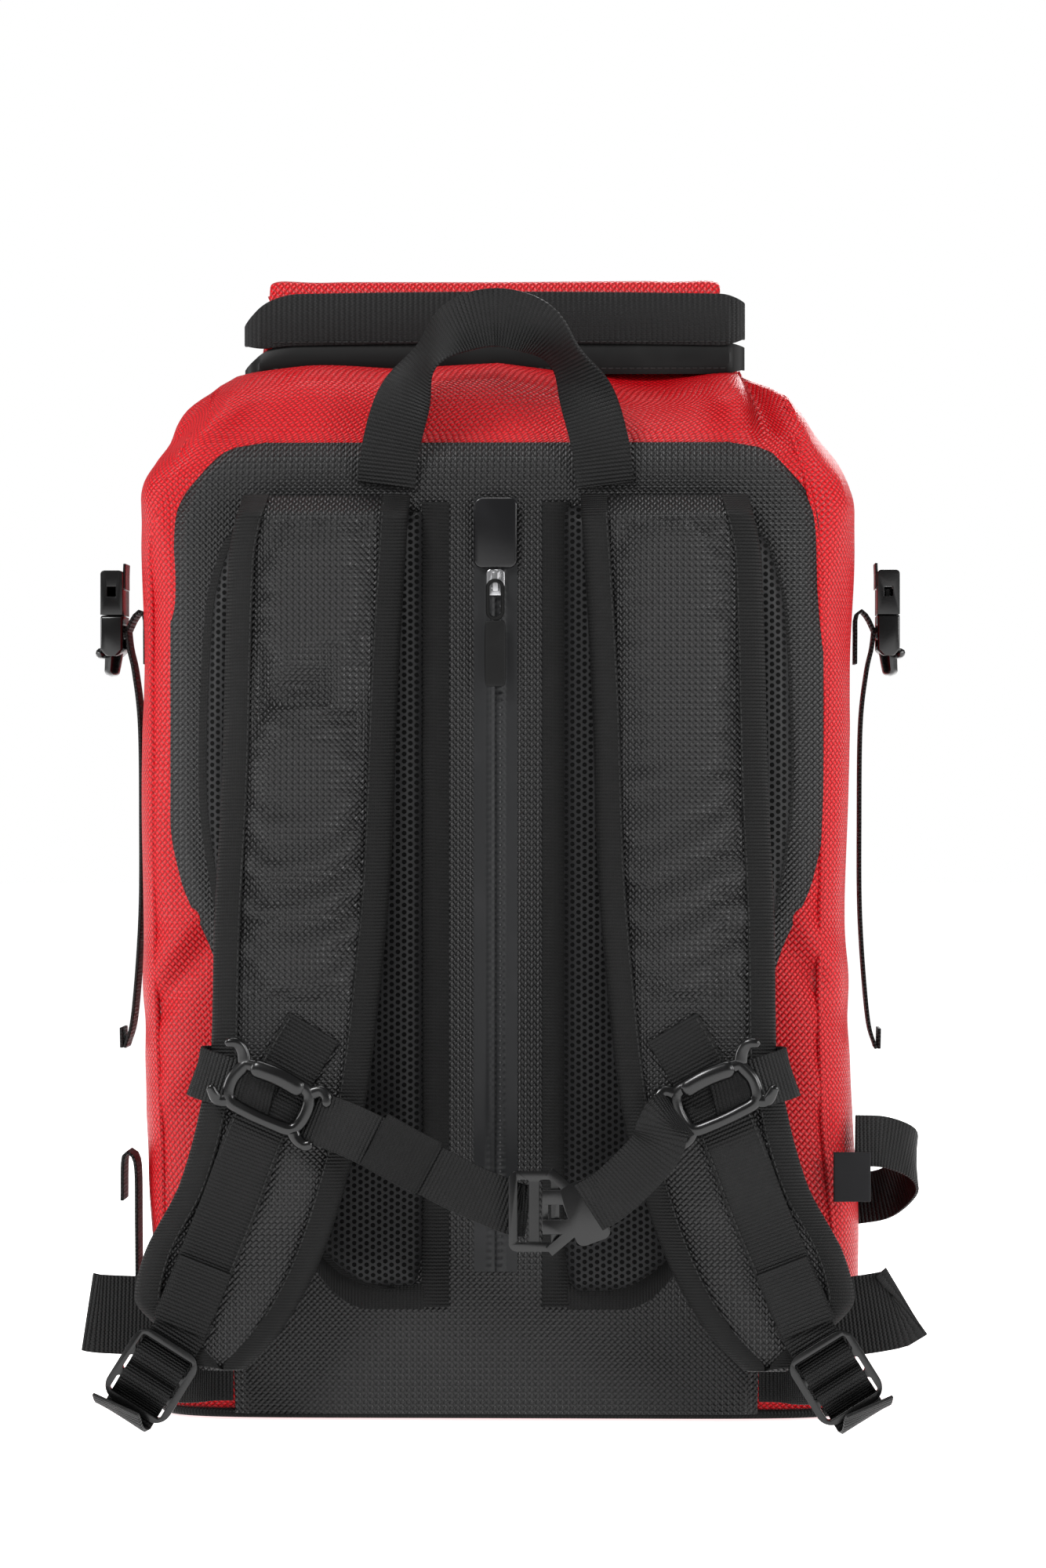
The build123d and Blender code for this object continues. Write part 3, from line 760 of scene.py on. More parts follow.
class Wire:
    """Short calls that add and join shader nodes in one tree."""

    def __init__(self, tree: bpy.types.NodeTree) -> None:
        """Work on one node tree.

        Args:
            tree: the material's or the group's nodes.
        """
        self.tree = tree
        self.inlet = tree.nodes.new("NodeGroupInput") if tree.interface.items_tree else None
        self.outlet = tree.nodes.new("NodeGroupOutput") if tree.interface.items_tree else None

    def entry(self, name: str) -> Socket:
        """Input of the group by name."""
        return self.inlet.outputs[name]

    def out(self, name: str, value: Socket) -> None:
        """Join a value to the group's output of that name."""
        self.tree.links.new(value, self.outlet.inputs[name])

    def put(self, socket: bpy.types.NodeSocket, value: Socket) -> None:
        """Set a socket to a number, or join another socket to it."""
        if isinstance(value, (int, float, tuple)):
            socket.default_value = value
        else:
            self.tree.links.new(value, socket)

    def math(self, kind: str, a: Socket, b: Socket = 0.0) -> Socket:
        """One Math node.

        Args:
            kind: the operation.
            a: first value.
            b: second value.

        Returns:
            The result socket.
        """
        node = self.tree.nodes.new("ShaderNodeMath")
        node.operation = kind
        self.put(node.inputs[0], a)
        self.put(node.inputs[1], b)
        return node.outputs[0]

    def mix(self, factor: Socket, a: Socket, b: Socket) -> Socket:
        """Blend of two values.

        Args:
            factor: share of the second.
            a: first value.
            b: second value.

        Returns:
            The result socket.
        """
        node = self.tree.nodes.new("ShaderNodeMix")
        self.put(node.inputs[0], factor)
        self.put(node.inputs[2], a)
        self.put(node.inputs[3], b)
        return node.outputs[0]

    def tint(self, factor: Socket, a: tuple, b: tuple | Socket) -> Socket:
        """Blend of two colours.

        Args:
            factor: share of the second.
            a: first value.
            b: second value.

        Returns:
            The colour socket.
        """
        node = self.tree.nodes.new("ShaderNodeMix")
        node.data_type = "RGBA"
        self.put(node.inputs[0], factor)
        self.put(node.inputs[6], a)
        self.put(node.inputs[7], b)
        return node.outputs[2]

    def ramp(self, value: Socket, low: float, high: float) -> Socket:
        """Smooth step of a value between two limits.

        Args:
            value: the value.
            low: where the step starts.
            high: where it ends.

        Returns:
            The result socket.
        """
        node = self.tree.nodes.new("ShaderNodeMapRange")
        node.interpolation_type = "SMOOTHSTEP"
        self.put(node.inputs[0], value)
        self.put(node.inputs[1], low)
        self.put(node.inputs[2], high)
        return node.outputs[0]

    def noise(self, vector: Socket, scale: Socket, detail: Socket) -> Socket:
        """Value of a noise texture.

        Args:
            vector: coordinates.
            scale: size of the pattern.
            detail: fineness.

        Returns:
            The value socket.
        """
        node = self.tree.nodes.new("ShaderNodeTexNoise")
        self.put(node.inputs["Vector"], vector)
        self.put(node.inputs["Scale"], scale)
        self.put(node.inputs["Detail"], detail)
        return node.outputs["Fac"]

    def split(self, vector: Socket) -> tuple[Socket, Socket]:
        """First two parts of a vector.

        Args:
            vector: coordinates.

        Returns:
            The two sockets.
        """
        node = self.tree.nodes.new("ShaderNodeSeparateXYZ")
        self.put(node.inputs[0], vector)
        return node.outputs[0], node.outputs[1]

    def group(self, tree: bpy.types.NodeTree, vector: Socket, **values: Socket) -> bpy.types.Node:
        """Place a node group.

        Args:
            tree: the group.
            vector: coordinates.
            values: values or sockets for its inputs.

        Returns:
            The placed group node.
        """
        node = self.tree.nodes.new("ShaderNodeGroup")
        node.node_tree = tree
        self.put(node.inputs["Vector"], vector)
        for key, value in values.items():
            self.put(node.inputs[key], value)
        return node


# ---------------------------------------------------------------- finishes


class Layout(Enum):
    """Where a pattern takes its coordinates from."""

    UV = "uv"                # the piece's own map, in metres
    FRONT = "front"          # X and Z of the object
    SOLID = "solid"          # X, Y and Z of the object


def coordinates(wire: Wire, layout: Layout, turn: float = 0.0) -> Socket:
    """Pattern coordinates in metres.

    Args:
        wire: the material's nodes.
        layout: source of the coordinates.
        turn: turn of the pattern in its plane, in degrees.

    Returns:
        A vector socket.
    """
    source = wire.tree.nodes.new("ShaderNodeTexCoord")
    mapping = wire.tree.nodes.new("ShaderNodeMapping")
    if layout is Layout.UV:
        wire.tree.links.new(source.outputs["UV"], mapping.inputs[0])
        mapping.inputs[2].default_value = (0, 0, math.radians(turn))
        return mapping.outputs[0]
    wire.tree.links.new(source.outputs["Object"], mapping.inputs[0])
    if layout is Layout.FRONT:
        mapping.inputs[2].default_value = (math.radians(-90), 0, math.radians(turn))
    return mapping.outputs[0]


Color = tuple[float, float, float, float]


def grey(value: float, blue: float | None = None) -> Color:
    """Grey, or a grey whose blue differs a little."""
    return (value, value, value if blue is None else blue, 1)


MATERIALS: dict[str, bpy.types.Material] = {}


@dataclass(frozen=True)
class Cloth:
    """A woven, ribbed or netted fabric finish."""

    name: str
    # The dark colour is painted shade for the gaps between yarns, the troughs between ribs and the net's holes.
    # It is also the tone that the random mottle leans to. The light colour is the yarns' own colour, on their
    # tops.
    gap_shade_and_mottle: Color
    light: Color
    pattern: str
    pitch: float
    roughness: float
    bump: float
    depth: float
    gloss: float = 0.3
    coat: float = 0.0
    layout: Layout = Layout.UV
    turn: float = 0.0
    mottle: float = 0.25

    def material(self) -> bpy.types.Material:
        """Build the finish as a material, or return the one already made.

        Returns:
            The material.
        """
        if self.name in MATERIALS:
            return MATERIALS[self.name]
        material = MATERIALS[self.name] = bpy.data.materials.new(self.name)
        material.use_nodes = True
        tree = material.node_tree
        wire = Wire(tree)
        shader = tree.nodes["Principled BSDF"]
        vector = coordinates(wire, self.layout, self.turn)
        solid = coordinates(wire, Layout.SOLID)
        group = {"weave": Groups.weave, "ribs": Groups.ribs, "net": Groups.holes}[self.pattern]()
        pattern = wire.group(group, vector, Pitch=self.pitch)
        cloud = wire.group(Groups.cloud(), solid, Scale=9.0)
        height = pattern.outputs["Height"]
        # Painted shade: the colour darkens as the yarn height drops, into the gaps, rib troughs and net holes.
        base = wire.tint(wire.math("POWER", height, 1.4), self.gap_shade_and_mottle, self.light)
        shade = wire.math("MULTIPLY", wire.math("SUBTRACT", cloud.outputs["Cloud"], 0.5), self.mottle)
        shaded = wire.tint(wire.math("ADD", 0.5, shade), self.gap_shade_and_mottle, base)
        lit = wire.tint(0.62, shaded, base)
        wire.put(shader.inputs["Base Color"], lit)
        rough = wire.math("ADD", wire.math("MULTIPLY", cloud.outputs["Fine"], 0.16), self.roughness - 0.08)
        open_gap = 0.5 if self.pattern == "net" else 0.08
        rough = wire.math("ADD", rough, wire.math("MULTIPLY", wire.math("SUBTRACT", 1.0, height), open_gap))
        wire.put(shader.inputs["Roughness"], rough)
        shader.inputs["Specular IOR Level"].default_value = self.gloss
        shader.inputs["Coat Weight"].default_value = self.coat
        shader.inputs["Coat Roughness"].default_value = 0.35
        relief = tree.nodes.new("ShaderNodeBump")
        relief.inputs["Strength"].default_value = self.bump
        relief.inputs["Distance"].default_value = self.depth
        whole = wire.math("ADD", height, wire.math("MULTIPLY", cloud.outputs["Fine"], 0.25))
        wire.put(relief.inputs["Height"], whole)
        wire.put(shader.inputs["Normal"], relief.outputs[0])
        return material


@dataclass(frozen=True)
class Moulding:
    """A moulded, coated or plated finish with fine grain and handling marks."""

    name: str
    color: Color
    worn: Color
    roughness: float
    metallic: float = 0.0
    coat: float = 0.0
    grain: float = 0.15
    gloss: float = 0.4

    def material(self) -> bpy.types.Material:
        """Build the finish as a material, or return the one already made.

        Returns:
            The material.
        """
        if self.name in MATERIALS:
            return MATERIALS[self.name]
        material = MATERIALS[self.name] = bpy.data.materials.new(self.name)
        material.use_nodes = True
        tree = material.node_tree
        wire = Wire(tree)
        shader = tree.nodes["Principled BSDF"]
        cloud = wire.group(Groups.cloud(), coordinates(wire, Layout.SOLID), Scale=45.0)
        worn = wire.ramp(cloud.outputs["Cloud"], 0.5, 0.8)
        wire.put(shader.inputs["Base Color"], wire.tint(worn, self.color, self.worn))
        rough = wire.math("ADD", wire.math("MULTIPLY", cloud.outputs["Cloud"], 0.18), self.roughness - 0.09)
        wire.put(shader.inputs["Roughness"], rough)
        shader.inputs["Specular IOR Level"].default_value = self.gloss
        shader.inputs["Metallic"].default_value = self.metallic
        shader.inputs["Coat Weight"].default_value = self.coat
        shader.inputs["Coat Roughness"].default_value = 0.2
        relief = tree.nodes.new("ShaderNodeBump")
        relief.inputs["Strength"].default_value = self.grain
        relief.inputs["Distance"].default_value = 0.1 * MM
        wire.put(relief.inputs["Height"], cloud.outputs["Fine"])
        wire.put(shader.inputs["Normal"], relief.outputs[0])
        return material


class Finishes:
    """Every finish on the pack."""

    RED = Cloth(
        "red_pack_cloth", (0.22, 0.0005, 0.0018, 1), (0.66, 0.002, 0.009, 1), "weave", 2.2 * MM, 0.34, 1.0,
        0.5 * MM, gloss=0.26, turn=45.0, mottle=0.3,
    )
    BALLISTIC = Cloth(
        "ballistic_weave", grey(0.0004, 0.0005), (0.021, 0.0205, 0.021, 1), "weave", 2.1 * MM, 0.34, 1.0,
        0.6 * MM, gloss=0.27, layout=Layout.FRONT, turn=45.0, mottle=0.35,
    )
    NET = Cloth(
        "spacer_net", grey(0.0003), grey(0.012, 0.0125), "net", 3.0 * MM, 0.5, 0.55,
        0.9 * MM, gloss=0.14, layout=Layout.FRONT,
    )
    WEB = Cloth(
        "woven_webbing", grey(0.0008), grey(0.0062, 0.0064), "ribs", 1.9 * MM, 0.45, 1.0,
        0.5 * MM, gloss=0.2,
    )
    BINDING = Cloth(
        "grosgrain_binding", grey(0.0006), grey(0.0042), "ribs", 1.7 * MM, 0.5, 1.0,
        0.4 * MM, gloss=0.17,
    )
    BAND = Cloth(
        "mouth_webbing", grey(0.0012), grey(0.0072, 0.0075), "ribs", 2.6 * MM, 0.5, 0.9,
        0.4 * MM, gloss=0.2,
    )
    FACING = Moulding("smooth_facing", grey(0.003), grey(0.006), 0.5, grain=0.3, gloss=0.18)
    ZIP = Moulding(
        "coated_zip_tape", (0.0085, 0.0088, 0.0095, 1), grey(0.012, 0.013), 0.45, grain=0.25, gloss=0.25,
    )
    GARAGE = Moulding("zip_garage_film", grey(0.004, 0.0045), grey(0.007, 0.008), 0.24, coat=0.1, gloss=0.3)
    PLASTIC = Moulding("moulded_nylon", grey(0.0013, 0.0014), grey(0.0026, 0.0028), 0.25, coat=0.12, gloss=0.4)
    METAL = Moulding("plated_slider", grey(0.42, 0.43), grey(0.3), 0.28, metallic=1.0)
    SHEET = Moulding("frame_sheet_plastic", grey(0.06), grey(0.09), 0.5)
    LABEL = Moulding("label_cloth", grey(0.004, 0.005), grey(0.008, 0.009), 0.6, grain=0.5, gloss=0.25)
    THREAD = Moulding("sewing_thread", grey(0.008), grey(0.016), 0.55, grain=0.4, gloss=0.3)

    @staticmethod
    def floor() -> bpy.types.Material:
        """Pale studio sweep.

        Returns:
            The material.
        """
        material = bpy.data.materials.new("studio_paper")
        material.use_nodes = True
        shader = material.node_tree.nodes["Principled BSDF"]
        shader.inputs["Base Color"].default_value = (0.93, 0.93, 0.93, 1)
        shader.inputs["Roughness"].default_value = 0.9
        shader.inputs["Emission Color"].default_value = (1, 1, 1, 1)
        shader.inputs["Emission Strength"].default_value = 0.85
        return material


# ---------------------------------------------------------------- the bag


@dataclass
class Fold:
    """A soft ridge or dent in the bag's cloth, along a line on its front outline."""

    start: tuple[float, float]
    end: tuple[float, float]
    wide: float
    high: float

    def lift(self, x: Array, z: Array) -> Array:
        """How far the cloth stands out at each place.

        Args:
            x: places across the bag.
            z: heights.

        Returns:
            The lift in metres.
        """
        a, b = np.array(self.start), np.array(self.end)
        d = b - a
        t = np.clip(((x - a[0]) * d[0] + (z - a[1]) * d[1]) / (d @ d), 0, 1)
        off = np.hypot(x - a[0] - t * d[0], z - a[1] - t * d[1])
        return self.high * np.exp(-((off / self.wide) ** 2)) * (0.45 + 0.55 * np.sin(np.pi * t))


# Folds as x and z of the start, x and z of the end, width and height, in millimetres.
PAIRED_FOLDS = (
    (112, 512, 166, 446, 10, 7.0), (134, 508, 174, 458, 8, -6.0), (92, 504, 138, 480, 8, 4.5),
    (104, 500, 150, 466, 6, -3.5), (170, 470, 158, 388, 9, 4.0), (164, 420, 178, 350, 8, -3.0),
    (176, 330, 164, 250, 10, 2.5), (140, 250, 176, 206, 8, 3.0), (139, 232, 176, 184, 7, -3.0),
    (146, 176, 174, 140, 8, 2.0), (176, 130, 160, 70, 9, 2.5), (128, 26, 165, 8, 6, -1.6),
)
SINGLE_FOLDS = (
    (122, 514, 132, 480, 6.5, -24.0), (138, 508, 150, 474, 8, 11.0), (104, 508, 114, 488, 8, 7.0),
    (-168, 464, -178, 446, 7, 6.0), (-156, 480, -176, 470, 5, -4.0), (-70, 506, -30, 484, 9, 2.6),
    (-18, 508, -6, 484, 8, -3.0), (24, 508, 60, 486, 10, 3.0),
)


@dataclass
class Bag:
    """The red roll-top bag with its piping, collar and folded mouth."""

    corner_power: float = 7.0
    base_round: float = 0.016
    skin: float = 2.0 * MM
    folds: list[Fold] = field(default_factory=list)

    def __post_init__(self) -> None:
        """Take the bag's sizes from the CAD panels."""
        rear, front = Span("rear_panel"), Span("front_panel")
        self.middle = rear.x
        self.half = (rear.x1 - rear.x0) / 2
        self.near, self.far = rear.y0, front.y1
        self.near_top, self.far_top = rear.z1, front.z1
        self.collar = Span("collar")
        self.neck = self.collar.z0
        self.neck_half = (self.collar.x1 - self.collar.x0) / 2
        for x0, z0, x1, z1, wide, high in mm(*PAIRED_FOLDS):
            for k in (-1, 1):
                self.folds.append(Fold((k * x0, z0), (k * x1, z1), wide, high))
        for x0, z0, x1, z1, wide, high in mm(*SINGLE_FOLDS):
            self.folds.append(Fold((x0, z0), (x1, z1), wide, high))

    def side(self, z: Array, hand: Hand) -> Array:
        """Half width of the bag on one side at each height.

        Args:
            z: heights.
            hand: which side.

        Returns:
            Distance from the bag's middle plane.
        """
        left = mm((0, 163), (14, 168), (84, 170), (118, 172), (200, 175), (346, 175.5), (421, 176),
                  (448, 173.5), (467, 168), (490, 157), (503, 141))
        left.append((self.neck, self.neck_half + 2 * MM))
        right = mm((0, 170), (14, 175), (84, 177), (140, 174), (202, 172), (251, 170), (346, 173), (414, 175),
                   (440, 174), (463, 168), (486, 150), (499, 137))
        right.append((self.neck, self.neck_half))
        return knots_at(left if hand is Hand.LEFT else right, z)

    def ring(self, z: Array, x: Array) -> tuple[Array, Array, Array]:
        """Half width and near and far faces of the bag at each height.

        Args:
            z: heights.
            x: places whose sign picks the side.

        Returns:
            Half width, near y and far y.
        """
        neck = self.neck
        wide = np.where(x < 0, self.side(z, Hand.LEFT), self.side(z, Hand.RIGHT))
        near = mm((0, 1), (60, 0), (420, 0), (455, 3), (476, 11), (497, 32))
        near.append((neck, self.collar.y0 - self.near))
        far = mm((0, -4), (60, 2), (250, 4), (390, 0), (440, -14), (480, -42))
        far.append((neck, self.collar.y1 - self.far))
        return wide, self.near + knots_at(near, z), self.far + knots_at(far, z)

    def near_y(self, x: Array, z: Array) -> Array:
        """Y of the bag's harness side at each place, without its folds.

        Args:
            x: places across, from the bag's middle.
            z: heights.

        Returns:
            The Y there.
        """
        wide, near, far = self.ring(z, x)
        centre = (near + far) / 2
        reach = np.clip(1 - np.abs(x / wide) ** self.corner_power, 0, 1) ** (1 / self.corner_power)
        return centre - (centre - near) * reach

    def build(self) -> None:
        """Make the bag's cloth shell and its base piping."""
        power = 2 / self.corner_power
        foot = 0.09

        def place(u: Array, v: Array) -> Array:
            """Lay the piece's points.

            Args:
                u: share across, from 0 to 1.
                v: share along, from 0 to 1.

            Returns:
                One row of x, y, z for each pair.
            """
            angle = u * 2 * math.pi + math.pi / 2
            climb = np.clip((v - foot) / (1 - foot), 0, 1)
            z = climb * self.neck
            warp = angle + 0.30 * np.sin(4 * angle) / 4
            c, s = np.cos(warp), np.sin(warp)
            wide, near, far = self.ring(z, c)
            centre, deep = (near + far) / 2, (far - near) / 2
            spread = np.clip(v / foot, 0, 1)
            edge = np.clip(z / self.base_round, 0, 1)
            tuck = 1 - 0.04 * (1 - np.sqrt(1 - (1 - edge) ** 2))
            x = wide * np.sign(c) * np.abs(c) ** power * spread * tuck
            y = centre + deep * np.sign(s) * np.abs(s) ** power * spread * tuck
            lift = sum(fold.lift(x, z) for fold in self.folds)
            wave = 4.0 * MM * np.cos(x / (34 * MM) + 0.6) + 2.5 * MM * np.cos(x / (17 * MM) - 0.8)
            wave = wave + 4.5 * MM * np.clip(-x / self.neck_half, 0, 1)
            rise = np.clip((z - 478 * MM) / (24 * MM), 0, 1) * np.clip((self.neck - z) / (6 * MM), 0, 1)
            rise = rise**2 * (3 - 2 * rise) * np.clip(-s * 2, 0, 1) * (np.abs(x) < self.neck_half + 20 * MM)
            z = z + (3.0 * MM + wave) * rise
            y = y - (9.0 * MM + wave) * rise
            on_near = np.clip(-s * 2.2, -0.6, 1.0)
            y = y - lift * on_near * spread
            x = x + np.sign(c) * lift * 0.35 * np.clip(np.abs(c) * 2 - 0.8, 0, 1) * spread
            return np.stack([x + self.middle, y, np.maximum(z, 0.0004)], axis=-1)

        shell = Bench.sheet("bag_shell", 240, 200, place, loop=True)
        Bench.edit(shell, lambda: bpy.ops.mesh.remove_doubles(threshold=2e-5))
        Bench.outward(shell)
        Bench.modify(shell, "SOLIDIFY", thickness=self.skin, offset=-1.0)
        Bench.dress(
            shell, Finishes.RED, "pack", "red_cloth", "rear_panel", "rear_yoke", "front_panel",
            "front_yoke", "base_panel", "side_panel_left", "side_panel_right", angle=60.0,
        )
        LOG.info("bag shell: %d faces", len(shell.data.polygons))
        self.piping()
        self.sleeve()
        self.seams()
        self.mouth()

    def sleeve(self) -> None:
        """Hang the sleeve's cloth wall and its frame sheet inside the bag."""
        wall, sheet = Span("sleeve_wall"), Span("frame_sheet")

        def place(u: Array, v: Array) -> Array:
            """Lay the piece's points.

            Args:
                u: share across, from 0 to 1.
                v: share along, from 0 to 1.

            Returns:
                One row of x, y, z for each pair.
            """
            z = wall.z0 + (wall.z1 - wall.z0) * v
            x = (u * 2 - 1) * (np.minimum(self.side(z, Hand.LEFT), self.side(z, Hand.RIGHT)) - 12 * MM)
            y = wall.y + 0.8 * MM * np.sin(x * 40) * np.sin(z * 18)
            return np.stack([x + self.middle, y, z], axis=-1)

        cloth = Bench.sheet("sleeve_cloth", 60, 70, place)
        Bench.modify(cloth, "SOLIDIFY", thickness=wall.y1 - wall.y0, offset=0.0)
        Bench.finish(cloth, Finishes.BALLISTIC.material(), 60.0)
        stiff = Bench.moulded("frame_sheet", 0.5 * MM)
        Bench.finish(stiff, Finishes.SHEET.material())
        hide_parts("sleeve_wall")
        for piece in (cloth, stiff):
            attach(piece, "pack")
        LOG.info("sleeve, %.0f mm high, and frame sheet", (sheet.z1 - sheet.z0) / MM)

    def seams(self) -> None:
        """Sew the folded seams that run up the edges of the harness side."""
        s = MM
        lines = {
            Hand.RIGHT: mm((166, 60), (158, 140), (156, 200), (159, 346), (156, 420), (152, 450), (140, 487)),
            Hand.LEFT: mm((-161, 60), (-163, 140), (-166, 200), (-168, 346), (-169, 420), (-160, 458),
                          (-146, 485)),
        }
        for hand, rows in lines.items():
            xz = np.array(rows)
            z = np.linspace(xz[0, 1], xz[-1, 1], 40)
            x = np.interp(z, xz[:, 1], xz[:, 0])
            lift = sum(fold.lift(x, z) for fold in self.folds)
            y = self.near_y(x, z) - lift - 0.2 * s
            path = [(a + self.middle, b, c) for a, b, c in zip(x, y, z)]
            ridge = Tube(f"edge_seam_{hand.tag}", path, 1.5 * s, flat=0.6).build(Finishes.RED)
            Bench.tie("pack", "red_cloth", ridge)
        LOG.info("edge seams")

    def piping(self) -> None:
        """Sew a black piping round the foot of the bag."""
        power = 2 / self.corner_power

        def place(u: Array, v: Array) -> Array:
            """Lay the piece's points.

            Args:
                u: share across, from 0 to 1.
                v: share along, from 0 to 1.

            Returns:
                One row of x, y, z for each pair.
            """
            angle = v * 2 * math.pi
            warp = angle + 0.30 * np.sin(4 * angle) / 4
            c, s = np.cos(warp), np.sin(warp)
            wide, near, far = self.ring(np.full_like(u, 4 * MM), c)
            centre, deep = (near + far) / 2, (far - near) / 2
            x = wide * np.sign(c) * np.abs(c) ** power
            y = deep * np.sign(s) * np.abs(s) ** power
            roll = u * 2 * math.pi
            out = 1 + (2.0 * MM * np.cos(roll)) / np.hypot(x, y)
            z = 2.9 * MM + 2.2 * MM * np.sin(roll)
            return np.stack([self.middle + x * out, centre + y * out, z], axis=-1)

        piping = Bench.sheet("base_piping", 12, 260, place, loop=True)
        Bench.outward(piping)
        Bench.dress(piping, Finishes.BINDING, "pack", "webbing")
        LOG.info("base piping")

    def mouth(self) -> None:
        """Fold the mouth over the collar and sew its webbing band on."""
        collar, flap, band = self.collar, Span("mouth_flap"), Span("mouth_band")
        top = collar.z1 + 4.0 * MM
        mid_y = (collar.y0 + flap.y1) / 2
        path = [
            *line((collar.x, collar.y, collar.z0), (0, 0, -6)),
            *line((collar.x, collar.y, collar.z1), (0, 0, -12), (0, -1, -3)), (collar.x, mid_y, top),
            *line((collar.x, flap.y, collar.z1), (0, 1, -3), (0, 0, -12)), (collar.x, flap.y, flap.z0),
        ]
        half, thick = self.neck_half, (collar.y1 - collar.y0) / 2

        def place(u: Array, v: Array) -> Array:
            """Lay the piece's points.

            Args:
                u: share across, from 0 to 1.
                v: share along, from 0 to 1.

            Returns:
                One row of x, y, z for each pair.
            """
            middle = smooth_path(path, v)
            ahead = direction(path, v, 0.01)
            ahead /= np.linalg.norm(ahead, axis=1, keepdims=True)
            out = np.stack([np.zeros_like(u), -ahead[:, 2], ahead[:, 1]], axis=-1)
            angle = u * 2 * math.pi
            c, s = np.cos(angle), np.sin(angle)
            bulge = 1 + 0.05 * np.sin(9 * v + 5 * c)
            top_pull = np.clip((middle[:, 2] - (collar.z0 + 6 * MM)) / (24 * MM), 0, 1)
            x = (half - 2.5 * MM - 6 * MM * top_pull) * np.sign(c) * np.abs(c) ** 0.12 - 2.5 * MM * top_pull
            off = thick * 0.92 * np.sign(s) * np.abs(s) ** 0.35 * bulge
            crease = 0.8 * MM * np.sin(x * 70 + 3 * v) * np.abs(s)
            return middle + out * (off + crease)[:, None] + np.stack([x, 0 * x, 0 * x], axis=-1)

        cloth = Bench.sheet("mouth_cloth", 160, 90, place, loop=True)
        Bench.outward(cloth)
        Bench.modify(cloth, "SOLIDIFY", thickness=1.2 * MM, offset=-1.0)
        Bench.finish(cloth, Finishes.RED.material(), 60.0)
        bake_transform(cloth)
        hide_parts("collar", "mouth_flap")

        def band_place(face: float, z0: float, z1: float, bow: float) -> Place:
            """Placing function for one band of the mouth."""
            def lay(u: Array, v: Array) -> Array:
                """Lay the band's points.

                Args:
                    u: share across, from 0 to 1.
                    v: share along, from 0 to 1.

                Returns:
                    One row of x, y, z for each pair.
                """
                reach, turn = half + 3.0 * MM, 7.0 * MM
                run = (v * 2 - 1) * (reach + 8 * MM)
                far = np.abs(run) - (reach - turn)
                bend = np.clip(far / turn, 0, math.pi / 2)
                x = np.where(far > 0, reach - turn + turn * np.sin(bend), np.abs(run)) * np.sign(run)
                y = face + turn * (1 - np.cos(bend)) + np.maximum(far - turn * math.pi / 2, 0)
                left = np.clip((-x - half + 24 * MM) / (27 * MM), 0, 1)
                end = np.clip((np.abs(x) - reach + 12 * MM) / (12 * MM), 0, 1)
                z = z0 + (u + (0.5 - u) * 0.3 * end**2) * (z1 - z0) - left**2 * (8 * MM * u + 3 * MM)
                z = z + bow * (1 - (x / reach) ** 2)
                y = y - 1.2 * MM * np.cos((u - 0.5) * math.pi) * (far < 0)
                return np.stack([x + flap.x - 2.5 * MM, y, z], axis=-1)
            return lay

        split = band.z0 + 10.5 * MM
        lay = band_place(band.y0 + 2.6 * MM, band.z0 - 3 * MM, split + 2 * MM, 0.0)
        facing = Bench.sheet("mouth_facing", 10, 240, lay)
        Bench.modify(facing, "SOLIDIFY", thickness=1.2 * MM, offset=0.0)
        Bench.finish(facing, Finishes.FACING.material())
        lay = band_place(band.y0 + 1.2 * MM, split, band.z1 + 2.0 * MM, 1.5 * MM)
        web = Bench.sheet("mouth_webbing", 12, 240, lay)
        Bench.modify(web, "SOLIDIFY", thickness=1.6 * MM, offset=0.0)
        Bench.modify(web, "BEVEL", width=0.4 * MM, segments=2, limit_method="ANGLE")
        Bench.finish(web, Finishes.BAND.material())
        Bench.tie("mouth", "webbing", facing, web)
        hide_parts("mouth_band")
        rows = Seams("mouth_stitching")
        for level in (band.z0 - 0.5 * MM, split + 2.2 * MM):
            reach = half - 8 * MM
            rows.row([(flap.x - reach, band.y0 - 0.4 * MM, level), (flap.x, band.y0 - 0.6 * MM, level),
                      (flap.x + reach, band.y0 - 0.4 * MM, level)])
        rows.build("mouth")
        LOG.info("folded mouth: cloth, facing and webbing")


# ---------------------------------------------------------------- back panel, pads, zip


